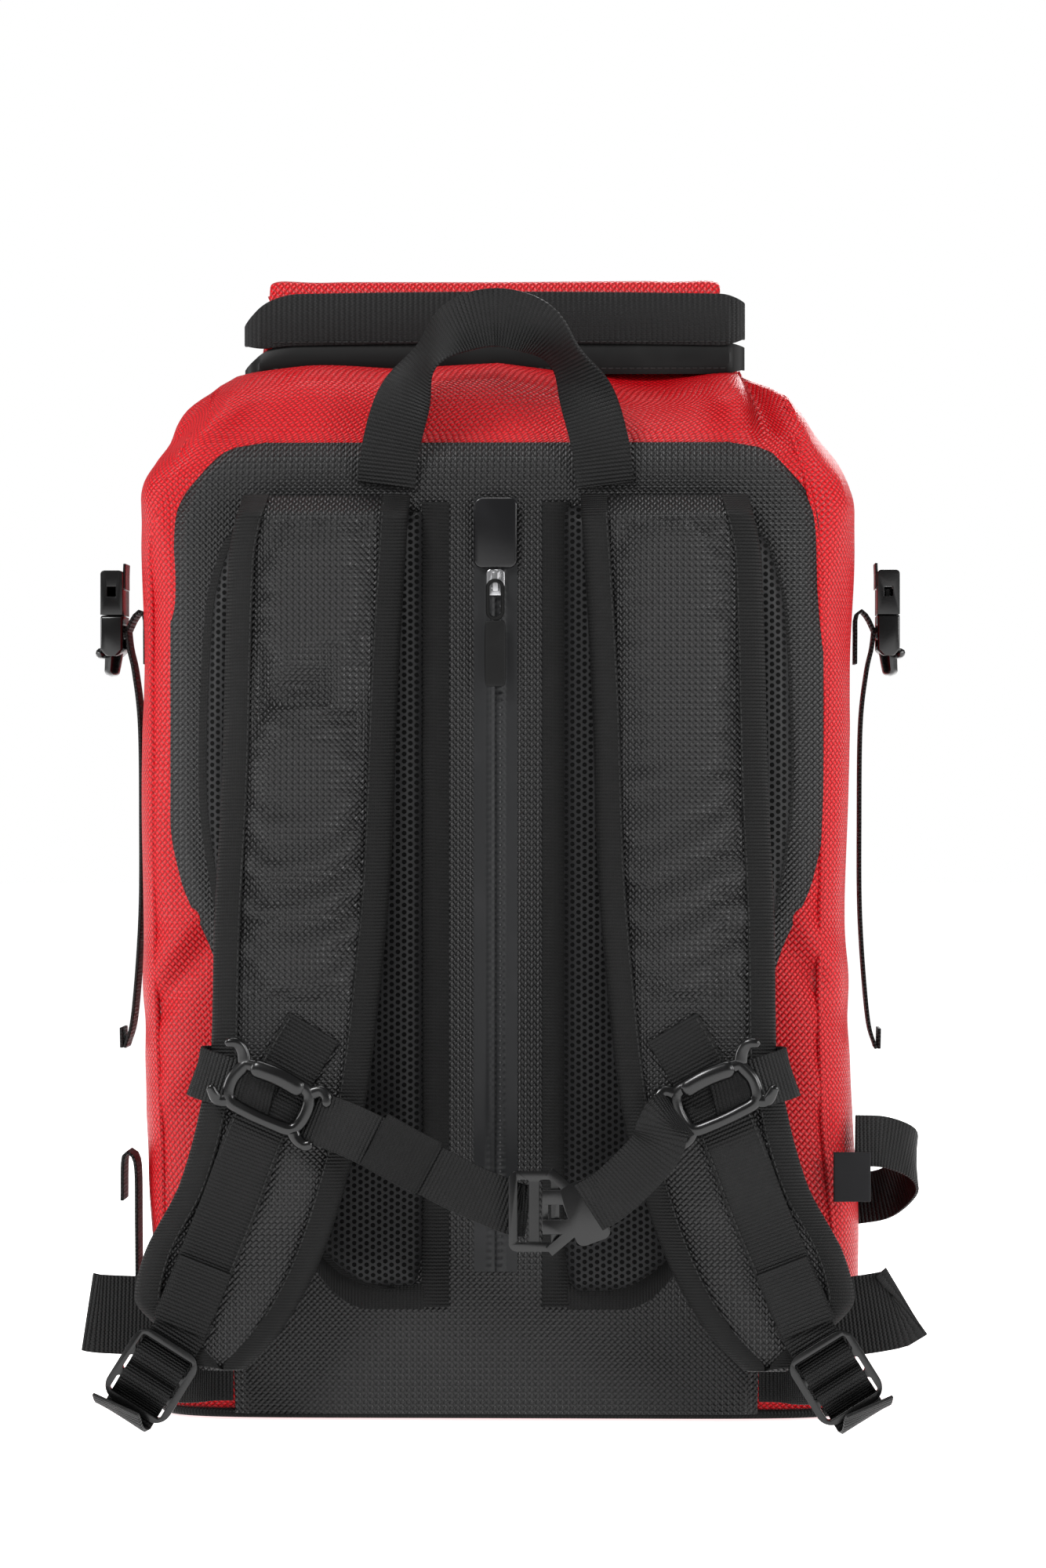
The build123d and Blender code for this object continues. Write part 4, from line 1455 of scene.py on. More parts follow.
@dataclass
class BackPanel:
    """Ballistic panel, spacer-mesh pads, binding tapes and the centre zip."""

    bag: Bag
    proud: float = 1.6 * MM

    def half_width(self, z: Array) -> Array:
        """Half width of the ballistic panel at each height.

        Args:
            z: heights.

        Returns:
            Half width at each height.
        """
        box = Span("back_panel")
        top, half = box.z1, (box.x1 - box.x0) / 2
        sides = half + knots_at([*mm((0, -32), (205, -26), (225, -21), (262, -5), (290, 0)), (top, 0)], z)
        corner = 46 * MM
        rise = np.clip((z - (top - corner)) / corner, 0, 1)
        return sides - corner * (1 - np.sqrt(np.clip(1 - rise**2, 0, 1)))

    def on_bag(self, x: Array, z: Array, off: float | Array) -> Array:
        """Points that stand off the bag's harness side.

        Args:
            x: places across, from the bag's middle.
            z: heights.
            off: distance in front of the bag.

        Returns:
            One row of x, y, z for each place.
        """
        return np.stack([x + self.bag.middle, self.bag.near_y(x, z) - off, z], axis=-1)

    def build(self) -> None:
        """Make the panel and everything sewn on it."""
        box = Span("back_panel")

        def place(u: Array, v: Array) -> Array:
            """Lay the piece's points.

            Args:
                u: share across, from 0 to 1.
                v: share along, from 0 to 1.

            Returns:
                One row of x, y, z for each pair.
            """
            z = box.z0 + 1 * MM + (box.z1 - box.z0 - 1 * MM) * v
            x = (u * 2 - 1) * self.half_width(z)
            edge = np.minimum(np.minimum(u, 1 - u) * 40, (1 - v) * 60)
            off = self.proud * np.clip(edge, 0, 1) + 0.7 * MM
            return self.on_bag(x, z, off)

        panel = Bench.sheet("ballistic_panel", 120, 200, place)
        Bench.modify(panel, "SOLIDIFY", thickness=0.8 * MM, offset=1.0)
        Bench.dress(panel, Finishes.BALLISTIC, "pack", "ballistic_cloth", "back_panel", angle=60.0)
        LOG.info("ballistic panel")
        for hand in Hand:
            self.pad(hand)
            self.tape(hand)
        self.zip()

    def pad(self, hand: Hand) -> None:
        """Make one crowned back pad in spacer mesh.

        Args:
            hand: which side.
        """
        box = Span(f"pad_mesh_{hand.tag}")
        inner = min(abs(box.x0 - self.bag.middle), abs(box.x1 - self.bag.middle)) - 1 * MM
        outer = max(abs(box.x0 - self.bag.middle), abs(box.x1 - self.bag.middle))
        low, high = box.z0 - 1 * MM, box.z1 + 2 * MM

        def edge(z: Array) -> Array:
            """Outer edge of the pad."""
            t = (z - low) / (high - low)
            shape = [(0, -62), (0.05, -55), (0.2, -45), (0.38, -25), (0.5, -7), (0.66, 0), (0.86, -3),
                     (0.95, -11), (1, -26)]
            return outer + MM * knots_at(shape, t)

        def place(u: Array, v: Array) -> Array:
            """Lay the piece's points.

            Args:
                u: share across, from 0 to 1.
                v: share along, from 0 to 1.

            Returns:
                One row of x, y, z for each pair.
            """
            z = low + (high - low) * v
            reach = edge(z)
            drop = np.clip((z - low) / (30 * MM), 0, 1)
            round_foot = 26 * MM * (1 - soft_step(drop))
            x = inner + (reach - inner - round_foot) * u + round_foot * 0.22 * (1 - u)
            near_edge = np.minimum(np.minimum(u, 1 - u) * (reach - inner), np.minimum(v, 1 - v) * (high - low))
            crown = soft_step(np.clip(near_edge / (15 * MM), 0, 1))
            soft = 0.6 * MM * np.sin(z * 95 + hand.value) * np.sin(x * 60)
            off = 2.4 * MM + crown * (11.0 * MM + soft)
            return self.on_bag(hand.value * x, z, off)

        pad = Bench.sheet(f"mesh_pad_{hand.tag}", 60, 200, place)
        Bench.modify(pad, "SOLIDIFY", thickness=2.2 * MM, offset=1.0)
        Bench.outward(pad)
        Bench.dress(
            pad, Finishes.NET, "pack", "spacer_mesh", f"pad_mesh_{hand.tag}", f"pad_foam_{hand.tag}",
            angle=60.0,
        )

        def binding(u: Array, v: Array) -> Array:
            """Lay the binding round the pad.

            Args:
                u: share across, from 0 to 1.
                v: share along, from 0 to 1.

            Returns:
                One row of x, y, z for each pair.
            """
            z = low - 1.5 * MM + (high - low + 2 * MM) * v
            drop = np.clip((z - low) / (30 * MM), 0, 1)
            reach = edge(np.clip(z, low, high)) - 26 * MM * (1 - soft_step(drop))
            x = reach - 1.0 * MM + (u * 2 - 1) * 4 * MM
            off = 3.4 * MM + 1.2 * MM * np.cos((u - 0.5) * math.pi)
            return self.on_bag(hand.value * x, z, off)

        rim = Bench.sheet(f"pad_binding_{hand.tag}", 6, 200, binding)
        Bench.modify(rim, "SOLIDIFY", thickness=0.9 * MM, offset=0.0)
        Bench.dress(rim, Finishes.BINDING, "pack", "webbing")
        LOG.info("back pad %s: %d faces", hand.tag, len(pad.data.polygons))

    def tape(self, hand: Hand) -> None:
        """Sew a binding tape beside the zip and another under the pad.

        Args:
            hand: which side.
        """
        box = Span(f"pad_tape_{hand.tag}")
        middle = abs(box.x - self.bag.middle)
        half = (box.x1 - box.x0) / 2

        def place(u: Array, v: Array) -> Array:
            """Lay the piece's points.

            Args:
                u: share across, from 0 to 1.
                v: share along, from 0 to 1.

            Returns:
                One row of x, y, z for each pair.
            """
            z = box.z0 - 8 * MM + (box.z1 - box.z0 + 6 * MM) * v
            x = hand.value * (middle + (u - 0.5) * 2 * half)
            off = 3.2 * MM + 1.0 * MM * np.cos((u - 0.5) * math.pi) + 0.25 * MM * np.sin(z * 160)
            return self.on_bag(x, z, off)

        tape = Bench.sheet(f"zip_side_tape_{hand.tag}", 8, 200, place)
        Bench.modify(tape, "SOLIDIFY", thickness=1.0 * MM, offset=0.0)
        Bench.finish(tape, Finishes.BINDING.material())
        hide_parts(f"pad_tape_{hand.tag}")

        def foot(u: Array, v: Array) -> Array:
            """Lay the tape under the pad.

            Args:
                u: share across, from 0 to 1.
                v: share along, from 0 to 1.

            Returns:
                One row of x, y, z for each pair.
            """
            x = hand.value * (middle + half - 1 * MM + (58 * MM) * v)
            z = box.z0 - 9 * MM + u * 12 * MM + 26 * MM * np.clip(v - 0.45, 0, 1) ** 2 * 3.3
            return self.on_bag(x, z, 3.0 * MM + 0.6 * MM * np.cos((u - 0.5) * math.pi) - v * 0.6 * MM)

        under = Bench.sheet(f"pad_foot_tape_{hand.tag}", 6, 24, foot)
        Bench.modify(under, "SOLIDIFY", thickness=1.0 * MM, offset=0.0)
        Bench.finish(under, Finishes.BINDING.material())
        Bench.tie("pack", "webbing", tape, under)
        LOG.info("tapes %s", hand.tag)

    def zip(self) -> None:
        """Make the coated zip: two tapes, embossed teeth, garage, slider and pull."""
        for hand in Hand:
            box = Span(f"zip_tape_{hand.tag}")
            wide = box.x1 - box.x0

            def place(u: Array, v: Array, box: Span = box, hand: Hand = hand, wide: float = wide) -> Array:
                """Lay the piece's points.

                Args:
                    u: share across, from 0 to 1.
                    v: share along, from 0 to 1.
                    box: the tape's box.
                    hand: which side.
                    wide: the tape's width.

                Returns:
                    One row of x, y, z for each pair.
                """
                z = box.z0 + (box.z1 - box.z0) * v
                x = u * wide
                dome = 1.0 * MM * np.exp(-(((x - 2.6 * MM) / (1.7 * MM)) ** 2))
                teeth = np.maximum(np.sin(z * 2 * math.pi / (1.75 * MM * 2)), -0.3)
                off = 2.9 * MM + dome * (1 + (0.45 * teeth if hand is Hand.RIGHT else 0.15 * teeth))
                off = off - 0.8 * MM * np.exp(-((x / (0.35 * MM)) ** 2))
                return self.on_bag(hand.value * x, z, off)

            tape = Bench.sheet(f"coated_tape_{hand.tag}", 36, 640, place)
            Bench.modify(tape, "SOLIDIFY", thickness=0.7 * MM, offset=0.0)
            Bench.dress(tape, Finishes.ZIP, "pack", "coated_zip", f"zip_tape_{hand.tag}", angle=50.0)
        garage = Bench.moulded("zip_garage", 1.1 * MM)
        Bench.dress(garage, Finishes.GARAGE, "pack", "coated_zip")
        slider = Bench.moulded("zip_slider", 0.5 * MM)
        Bench.dress(slider, Finishes.METAL, "zip_slider", "slider_metal")
        loop = Bench.moulded("pull_loop", 0.7 * MM)
        Bench.finish(loop, Finishes.BINDING.material())
        self.pull_tab()
        Bench.tie("zip_pull", "webbing", loop)
        LOG.info("zip with garage, slider and pull")

    def pull_tab(self) -> None:
        """Moulded tab on the zip pull, a rounded block."""
        box = Span("pull_tab")
        Bench.clear()
        bpy.ops.mesh.primitive_cube_add(size=1, location=(box.x, box.y, box.z))
        tab = bpy.context.active_object
        tab.name = tab.data.name = "woven_pull_tab"
        tab.scale = (box.x1 - box.x0, box.y1 - box.y0, box.z1 - box.z0)
        bpy.ops.object.transform_apply(location=True, rotation=False, scale=True)
        bpy.ops.object.mode_set(mode="EDIT")
        bpy.ops.mesh.select_all(action="SELECT")
        bpy.ops.mesh.bevel(offset=0.8 * MM, segments=1)
        bpy.ops.object.mode_set(mode="OBJECT")
        Bench.modify(tab, "SUBSURF", levels=3, render_levels=3)
        Bench.dress(tab, Finishes.FACING, "zip_pull", "webbing", "pull_tab")


# ---------------------------------------------------------------- shoulder straps


@dataclass
class ShoulderStrap:
    """One padded strap with its edge binding and sewn webbing."""

    hand: Hand
    bag: Bag
    thick: float = 10.0 * MM

    def __post_init__(self) -> None:
        """Read the strap's place from its CAD node."""
        self.box = Span(f"shoulder_pad_{self.hand.tag}")

    def edges(self, z: Array) -> tuple[Array, Array]:
        """Distances of the inner and outer edges from the bag's middle at each height.

        Args:
            z: heights.

        Returns:
            Inner and outer distance.
        """
        inner = mm((27, 121), (46, 103), (80, 84), (118, 71), (152, 62.5), (194, 57), (270, 50.5),
                   (346, 48), (450, 42))
        outer = mm((27, 140), (44, 156), (62, 171), (80, 167), (118, 148), (150, 139), (183, 133.5), (232, 133),
                   (308, 130), (414, 127), (450, 120))
        return knots_at(inner, z), knots_at(outer, z)

    def back(self, z: Array) -> Array:
        """Y of the strap's back face at each height.

        Args:
            z: heights.

        Returns:
            Y at each height.
        """
        box, s = self.box, MM
        pads = Span("pad_mesh_left").y0 - 0.4 * s
        top = box.z1
        shape = mm((0, -10), (60, -12), (110, -23), (150, -26), (190, -18.2), (230, -12.5), (330, -0.6))
        return pads + knots_at([*shape, (top - 12 * s, -0.4 * s), (top, 11 * s)], z)

    def point(self, across: Array, z: Array, off: Array | float) -> Array:
        """A point on the strap.

        Args:
            across: 0 at the inner edge, 1 at the outer edge.
            z: height.
            off: distance in front of the back face.

        Returns:
            Rows of x, y, z.
        """
        inner, outer = self.edges(z)
        x = self.hand.value * (inner + (outer - inner) * across)
        return np.stack([x + self.bag.middle, self.back(z) - off, z], axis=-1)

    def wrinkles(self, across: Array, z: Array) -> Array:
        """Soft cross wrinkles where the strap bends, and gentle waves elsewhere.

        Args:
            across: 0 at the inner edge, 1 at the outer edge.
            z: heights.

        Returns:
            Lift in metres.
        """
        bend = np.exp(-(((z - 250 * MM) / (34 * MM)) ** 2))
        upper = np.clip((z - 205 * MM) / (20 * MM), 0, 1)
        fine = np.sin(z * 300 + 3.0 * np.sin(across * 4 + self.hand.value)) * bend * 1.3 * MM
        slow = np.sin(z * 40 + across * 3 + self.hand.value) * (0.5 + 0.5 * upper) * MM
        low = np.sin(z * 120 + across * 5) * np.exp(-(((z - 90 * MM) / (30 * MM)) ** 2)) * 0.5 * MM
        return fine + slow + low

    def build(self) -> None:
        """Make the pad, its binding and its webbing."""
        low, high = self.box.z0, self.box.z1

        def place(u: Array, v: Array) -> Array:
            """Lay the piece's points.

            Args:
                u: share across, from 0 to 1.
                v: share along, from 0 to 1.

            Returns:
                One row of x, y, z for each pair.
            """
            z = low + (high - low) * v
            angle = u * 2 * math.pi
            c, s = np.cos(angle), np.sin(angle)
            across = 0.5 + 0.5 * np.sign(c) * np.abs(c) ** 0.75
            taper = np.sqrt(np.clip(1 - (1 - np.clip(np.minimum(v, 1 - v) * 45, 0, 1)) ** 2, 0.02, 1))
            thickness = self.thick / 2 * taper * np.abs(s) ** 0.55 * np.sign(s)
            crown = 1.2 * MM * np.clip(s, 0, 1) * (1 - (2 * across - 1) ** 2)
            front = np.clip(s, 0, 1)
            off = self.thick / 2 + thickness + crown + self.wrinkles(across, z) * front
            return self.point(across, z, off)

        pad = Bench.sheet(f"strap_pad_{self.hand.tag}", 56, 260, place, loop=True)
        Bench.edit(pad, lambda: bpy.ops.mesh.remove_doubles(threshold=1e-5))
        Bench.take(pad)
        bpy.ops.object.mode_set(mode="EDIT")
        bpy.ops.mesh.select_all(action="DESELECT")
        bpy.ops.mesh.select_non_manifold()
        bpy.ops.mesh.fill_holes(sides=0)
        bpy.ops.object.mode_set(mode="OBJECT")
        Bench.outward(pad)
        spots = np.empty(len(pad.data.vertices) * 3)
        pad.data.vertices.foreach_get("co", spots)
        spots = spots.reshape(-1, 3)
        inner, outer = self.edges(spots[:, 2])
        reach = np.abs(spots[:, 0] - self.bag.middle)
        front = spots[:, 1] < self.back(spots[:, 2]) - self.thick * 0.75
        open_face = front & (reach > inner + 13 * MM) & (reach < outer - 13 * MM) & (spots[:, 2] > 205 * MM)
        Bench.settle(pad, ~(open_face & (spots[:, 2] < high - 12 * MM)), 1.5, 0.045, 3.5 * MM)
        Bench.finish(pad, Finishes.BALLISTIC.material(), 60.0)
        body = f"strap_{self.hand.tag}"
        Bench.tie(body, "ballistic_cloth", pad)
        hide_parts(f"shoulder_pad_{self.hand.tag}")
        self.binding(body)
        self.webbing(body)
        LOG.info("shoulder strap %s", self.hand.tag)

    def binding(self, body: str) -> None:
        """Fold a grosgrain binding round the strap's edge, down, round the foot and up.

        Args:
            body: the CAD body it rides on.
        """
        low, high = self.box.z0 + 1 * MM, self.box.z1

        def place(u: Array, v: Array) -> Array:
            """Lay the piece's points.

            Args:
                u: share across, from 0 to 1.
                v: share along, from 0 to 1.

            Returns:
                One row of x, y, z for each pair.
            """
            t = np.abs(v * 2 - 1)
            outer_side = v > 0.5
            z = low + (high - low) * t
            inner, outer = self.edges(z)
            gap = outer - inner
            wrap = (u - 0.5) * 2
            inset = 12.5 * MM * (1 - np.cos(wrap * math.pi / 2))
            inset = np.minimum(inset, gap * 0.48)
            lift = (self.thick / 2 + 0.9 * MM) * np.sin(wrap * math.pi / 2) * 1.02
            edge_x = np.where(outer_side, outer + 0.8 * MM - inset, inner - 0.8 * MM + inset)
            x = self.hand.value * edge_x
            y = self.back(z) - self.thick / 2 - lift
            return np.stack([x + self.bag.middle, y, z], axis=-1)

        trim = Bench.sheet(f"strap_binding_{self.hand.tag}", 14, 520, place)
        Bench.modify(trim, "SOLIDIFY", thickness=0.8 * MM, offset=0.0)
        Bench.dress(trim, Finishes.BINDING, body, "webbing", angle=60.0)

    def webbing(self, body: str) -> None:
        """Sew the lengthwise webbing, its start patch and the wrap tab.

        Args:
            body: the CAD body it rides on.
        """
        k, s = self.hand.value, MM

        def on(x: float, z: float, lift: float = 0.0) -> Point:
            """Point in front of the strap.

            Args:
                x: distance from the bag's middle, in millimetres.
                z: height, in millimetres.
                lift: distance in front of the webbing's own layer, in millimetres.

            Returns:
                The point in metres.
            """
            y = float(self.back(np.array([z * s]))[0]) - self.thick - (2.2 + lift) * s
            return (self.bag.middle + k * x * s, y, z * s)

        path = [on(85, 192), on(93, 179), on(103, 161), on(113, 140), on(125, 108), on(138, 77), on(150, 48)]
        web = Webbing(f"strap_webbing_{self.hand.tag}", path, 27.5 * s, (1, 0, 0)).build(Finishes.WEB)
        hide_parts(f"strap_web_{self.hand.tag}")
        patch_path = [on(137, 79, 1.4), on(142, 67, 1.8), on(150, 48, 1.2)]
        patch = Webbing(f"strap_patch_{self.hand.tag}", patch_path, 26 * s, (1, 0, 0)).build(Finishes.WEB)
        tab_path = [on(104, 160, 1.6), on(116, 163, 1.6), on(129, 167, 0.6), on(139.5, 170, -3.5),
                    on(141.5, 171, -8.2), on(136, 171, -13)]
        tab = Webbing(f"strap_wrap_{self.hand.tag}", tab_path, 24 * s, (0.35 * -k, 0, 1)).build(Finishes.WEB)
        Bench.tie(body, "webbing", web, patch, tab)
        rows = Seams(f"strap_stitching_{self.hand.tag}")
        heights = np.linspace(self.box.z0 + 26 * s, self.box.z1 - 4 * s, 60)
        inner, outer = self.edges(heights)
        wide = outer - inner
        for across in (11.0 * s / wide, 1 - 11.0 * s / wide):
            place = self.point(across, heights, self.thick + 1.4 * s)
            rows.row([tuple(p) for p in place])
        for shift in (-11.5 * s, 11.5 * s):
            rows.row([(p[0] + k * shift, p[1] - 0.9 * s, p[2] + shift * 0.4) for p in path])
        rows.build(body)


# ---------------------------------------------------------------- lower harness


@dataclass
class LowerHarness:
    """Ladder lock, the webs through it and the anchor web on one side."""

    hand: Hand
    bag: Bag

    def build(self) -> None:
        """Make the lock, the looped webs, the tail and the anchor."""
        tag, k, s = self.hand.tag, self.hand.value, MM
        lock = Bench.moulded(f"ladder_lock_{tag}", 1.0 * s)
        Bench.finish(lock, Finishes.PLASTIC.material())
        box = Span(f"ladder_lock_{tag}")
        turn = math.radians(32.0)
        down = np.array([k * math.sin(turn), 0, -math.cos(turn)])
        side = (math.cos(turn), 0.0, k * math.sin(turn))
        centre = np.array([box.x, box.y, box.z])

        def at(along: float, off: float) -> Point:
            """Point in the plane of the moulding."""
            point = centre + down * along * s
            return (point[0], point[1] - off * s, point[2])

        pulled = [at(-36, -2.5), at(-26, -3.6), at(-18, -4.2), at(-12.5, -1.5), at(-8.5, 3.2), at(-5.8, 4.2),
                  at(-3, 3.2), at(0.5, -1.5)]
        upper = Webbing(f"lock_loop_{tag}", pulled, 25.6 * s, side).build(Finishes.WEB)
        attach(upper, f"strap_{tag}")
        tail_box = Span(f"lower_web_{tag}")
        tail = [at(-0.5, -1.5), at(3, 3.2), at(5.8, 4.2), at(8.5, 3.2), at(12.5, -1.5), at(17.5, -4.2),
                at(23, -3.2)]
        end = np.array(tail[-1])
        tip = np.array([end[0] + k * 3 * s, tail_box.y0 + 4 * s, 14.5 * s])
        tail += [tuple((end + tip) / 2 + np.array([0, -3 * s, -2 * s])), tuple(tip)]
        lower = Webbing(f"lower_web_tail_{tag}", tail, 25.6 * s, side).build(Finishes.WEB)
        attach(lower, f"ladder_lock_{tag}")
        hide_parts(f"lower_web_{tag}")
        Bench.tie(f"ladder_lock_{tag}", "moulded_plastic", lock)
        anchor_box = Span(f"strap_anchor_{tag}")
        inner_x = anchor_box.x1 if k < 0 else anchor_box.x0
        outer_x = anchor_box.x0 if k < 0 else anchor_box.x1
        path = [
            *line((inner_x, anchor_box.y1, 0), (-2, -2.5, 19.5), (8, -5, 19.5), flip=k),
            *line(((inner_x + outer_x) / 2, anchor_box.y, 0), (3, 0, 20), flip=k),
            *line((outer_x, anchor_box.y0, 0), (0, 4, 22)), *line(centre, (-2, 4.6, -1), flip=k),
        ]
        anchor = Webbing(f"anchor_web_{tag}", path, 20 * s, (0.0, 0, 1)).build(Finishes.WEB)
        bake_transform(anchor)
        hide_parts(f"strap_anchor_{tag}")
        self.hip_web()
        LOG.info("lower harness %s", tag)

    def hip_web(self) -> None:
        """Wide hip web, cut square at its free end."""
        tag, k, s = self.hand.tag, self.hand.value, MM
        box = Span(f"hip_web_{tag}")
        start = box.x1 if k < 0 else box.x0
        tip = box.x0 if k < 0 else box.x1
        lift = 2 if k < 0 else 8
        path = [
            *line((start, box.y, box.z), (0, 0, -2)), *line(((start + tip) / 2, box.y, box.z), (0, -1, 0)),
            *line((tip, box.y, box.z), (-6, 0, lift / 2), (1, 1, lift), flip=k),
        ]
        web = Webbing(f"hip_webbing_{tag}", path, 38 * s, (-0.14 * k, 0, 1)).build(Finishes.WEB)
        Bench.tie(f"hip_web_{tag}", "webbing", web)
        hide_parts(f"hip_web_{tag}")


# ---------------------------------------------------------------- chest strap


@dataclass
class ChestStrap:
    """Chest sliders, webs, keeper and the hook buckle."""

    bag: Bag

    def build(self) -> None:
        """Make the moulded pieces and the two webs."""
        s = MM
        self.slider(Hand.LEFT)
        self.slider(Hand.RIGHT)
        bodies = {"chest_buckle_frame": "chest_left", "chest_hook": "chest_hook"}
        for node, body in bodies.items():
            piece = Bench.moulded(node, 0.9 * s)
            Bench.dress(piece, Finishes.PLASTIC, body, "moulded_plastic")
        left, right = Span("chest_web_left"), Span("chest_web_right")
        frame_box, slider = Span("chest_buckle_frame"), Span("chest_slider_left")
        y = left.y
        path = [
            *line((slider.x, slider.y1, slider.z), (2, -4.4, -1), (12, -3.8, -5.5)),
            *line((slider.x, y, 0), (24, 2.2, 149)),
            *line((0, y, 0), (-72, 0, 144), (-45, -0.5, 131), (-18, 0, 117)),
            *line((frame_box.x0, y, frame_box.z), (2, -0.5, 1), (9, 1.2, 0)),
        ]
        web = Webbing("chest_webbing_left", path, 25 * s, (0.42, 0, 0.9)).build(Finishes.WEB)
        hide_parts("chest_web_left")
        keep_path = line((0, y, 0), (-60, -1.9, 140), (-46, -2.3, 132.2), (-34, -1.9, 126))
        band = Webbing("chest_keeper_band", keep_path, 27.5 * s, (0.42, 0, 0.9), thick=1.4 * s)
        band = band.build(Finishes.BINDING)
        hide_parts("chest_keeper")
        for piece in (web, band):
            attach(piece, "chest_left")
        hook, end = Span("chest_hook"), Span("chest_slider_right")
        y = right.y
        LOG.info("chest web and keeper")
        path = [
            *line((hook.x, y, hook.z), (6, 1.4, 2)), *line((hook.x1, y, hook.z), (2, -0.6, 10)),
            *line(((hook.x1 + end.x) / 2, y, (hook.z + end.z) / 2), (-4, 0, 3)),
            *line((end.x, y, end.z), (-24, 2, -10)),
            *line((end.x, end.y1, end.z), (-14, -3.8, -6.5), (-8, -4.4, -3.5)),
        ]
        web = Webbing("chest_webbing_right", path, 25 * s, (-0.6, 0, 0.8)).build(Finishes.WEB)
        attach(web, "chest_hook")
        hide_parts("chest_web_right")
        LOG.info("chest strap")

    def slider(self, hand: Hand) -> None:
        """Mould one chest slider: a window frame with four hooked horns.

        Args:
            hand: which side.
        """
        s, k = MM, hand.value
        box = Span(f"chest_slider_{hand.tag}")
        turn = math.radians(25.0)
        centre = np.array([box.x, (box.y0 + box.y1) / 2 - 3.8 * s, box.z])
        along = np.array([-k * math.cos(turn), 0, -math.sin(turn)])
        rise = np.array([-along[2], 0, along[0]]) * -k

        def at(a: float, b: float, off: float = 0.0) -> Point:
            """Point in the plane of the moulding."""
            return tuple(centre + along * a * 1.1 * s + rise * b * 1.12 * s + np.array([0, -off * s, 0]))

        corners = ((-15, 8.5), (-6, 10, 0.6), (6, 10, 0.6), (15, 8.5), (17.5, 0), (15, -8),
                   (6, -9.5, 0.6), (-6, -9.5, 0.6), (-15, -8), (-17.5, 0))
        ring = [at(*corner) for corner in corners]
        body = f"chest_{hand.tag}"
        window = Tube(f"slider_frame_{hand.tag}", ring, 3.2 * s, flat=0.72, ring=True).build(Finishes.PLASTIC)
        arc = [at(-13, 8.5, 0.8), at(0, 9.6, 1.6), at(13, 8.5, 0.8)]
        pieces = [window, Tube(f"slider_brow_{hand.tag}", arc, 4.4 * s, flat=0.6).build(Finishes.PLASTIC)]
        horns = (
            [at(15, 8), at(19, 11.5, 0.5), at(22.5, 10.5, 1.5), at(24.5, 6.5, 2)],
            [at(-15, 8), at(-18.5, 13, 0.5), at(-22.5, 15, 1.5), at(-27, 13, 2)],
            [at(15, -8), at(18.5, -11, 0.5), at(23, -12, 1.5), at(25.5, -9.5, 2)],
            [at(-15, -8), at(-19, -10, 0.5), at(-22, -8.5, 1.5), at(-25.5, -5.5, 2)],
        )
        for i, horn in enumerate(horns):
            piece = Tube(f"slider_horn_{hand.tag}_{i + 1}", horn, 3.5 * s, flat=0.6, taper=0.62)
            pieces.append(piece.build(Finishes.PLASTIC))
        Bench.tie(body, "moulded_plastic", *pieces)
        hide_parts(f"chest_slider_{hand.tag}")
        LOG.info("chest slider %s", hand.tag)


# ---------------------------------------------------------------- handle and sides


@dataclass
class HaulLoop:
    """Webbing arch above the harness."""

    bag: Bag

    def build(self) -> None:
        """Lay the webbing over its arch with a slight twist in the legs."""
        box = Span("haul_loop")
        m, y = box.x, box.y
        leg = line((m, y, box.z0), (53, 0, 0), (50, -0.5, 22), (43, -2, 45))
        leg += line((m, y, box.z1), (33, -5, -32), (19, -8, -19))
        path = [(2 * m - a, b, c) for a, b, c in leg] + line((m, y, box.z1), (0, -9, -14)) + leg[::-1]

        def twist(v: Array) -> Array:
            """Turn of the webbing's legs.

            Args:
                v: share along, from 0 to 1.

            Returns:
                Turn in radians.
            """
            half = np.minimum(v, 1 - v) * 2
            swell = np.exp(-(((half - 0.62) / 0.20) ** 2))
            return swell * np.sign(v - 0.5)

        loop = self.arch(path, twist)
        Bench.tie("haul_handle", "webbing", loop)
        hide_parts("haul_loop")
        LOG.info("haul loop")

    def arch(self, path: list[Point], twist: Callable[[Array], Array]) -> bpy.types.Object:
        """Sweep the webbing's width square to the arch.

        Args:
            path: middle line of the webbing.
            twist: turn of the webbing about its own line.

        Returns:
            The finished loop.
        """
        def place(u: Array, v: Array) -> Array:
            """Lay the piece's points.

            Args:
                u: share across, from 0 to 1.
                v: share along, from 0 to 1.

            Returns:
                One row of x, y, z for each pair.
            """
            middle = smooth_path(path, v)
            along = direction(path, v, 0.004)
            along /= np.linalg.norm(along, axis=1, keepdims=True)
            face = np.tile(np.array([0.0, -1.0, 0.0]), (len(u), 1))
            across = np.cross(along, face)
            across /= np.linalg.norm(across, axis=1, keepdims=True)
            angle = twist(v)[:, None]
            across = across * np.cos(angle) + np.cross(along, across) * np.sin(angle)
            return middle + across * ((u - 0.5) * 28 * MM)[:, None]

        loop = Bench.sheet("haul_webbing", 8, 160, place)
        Bench.modify(loop, "SOLIDIFY", thickness=1.7 * MM, offset=0.0)
        Bench.modify(loop, "BEVEL", width=0.4 * MM, segments=2, limit_method="ANGLE")
        return Bench.finish(loop, Finishes.WEB.material())


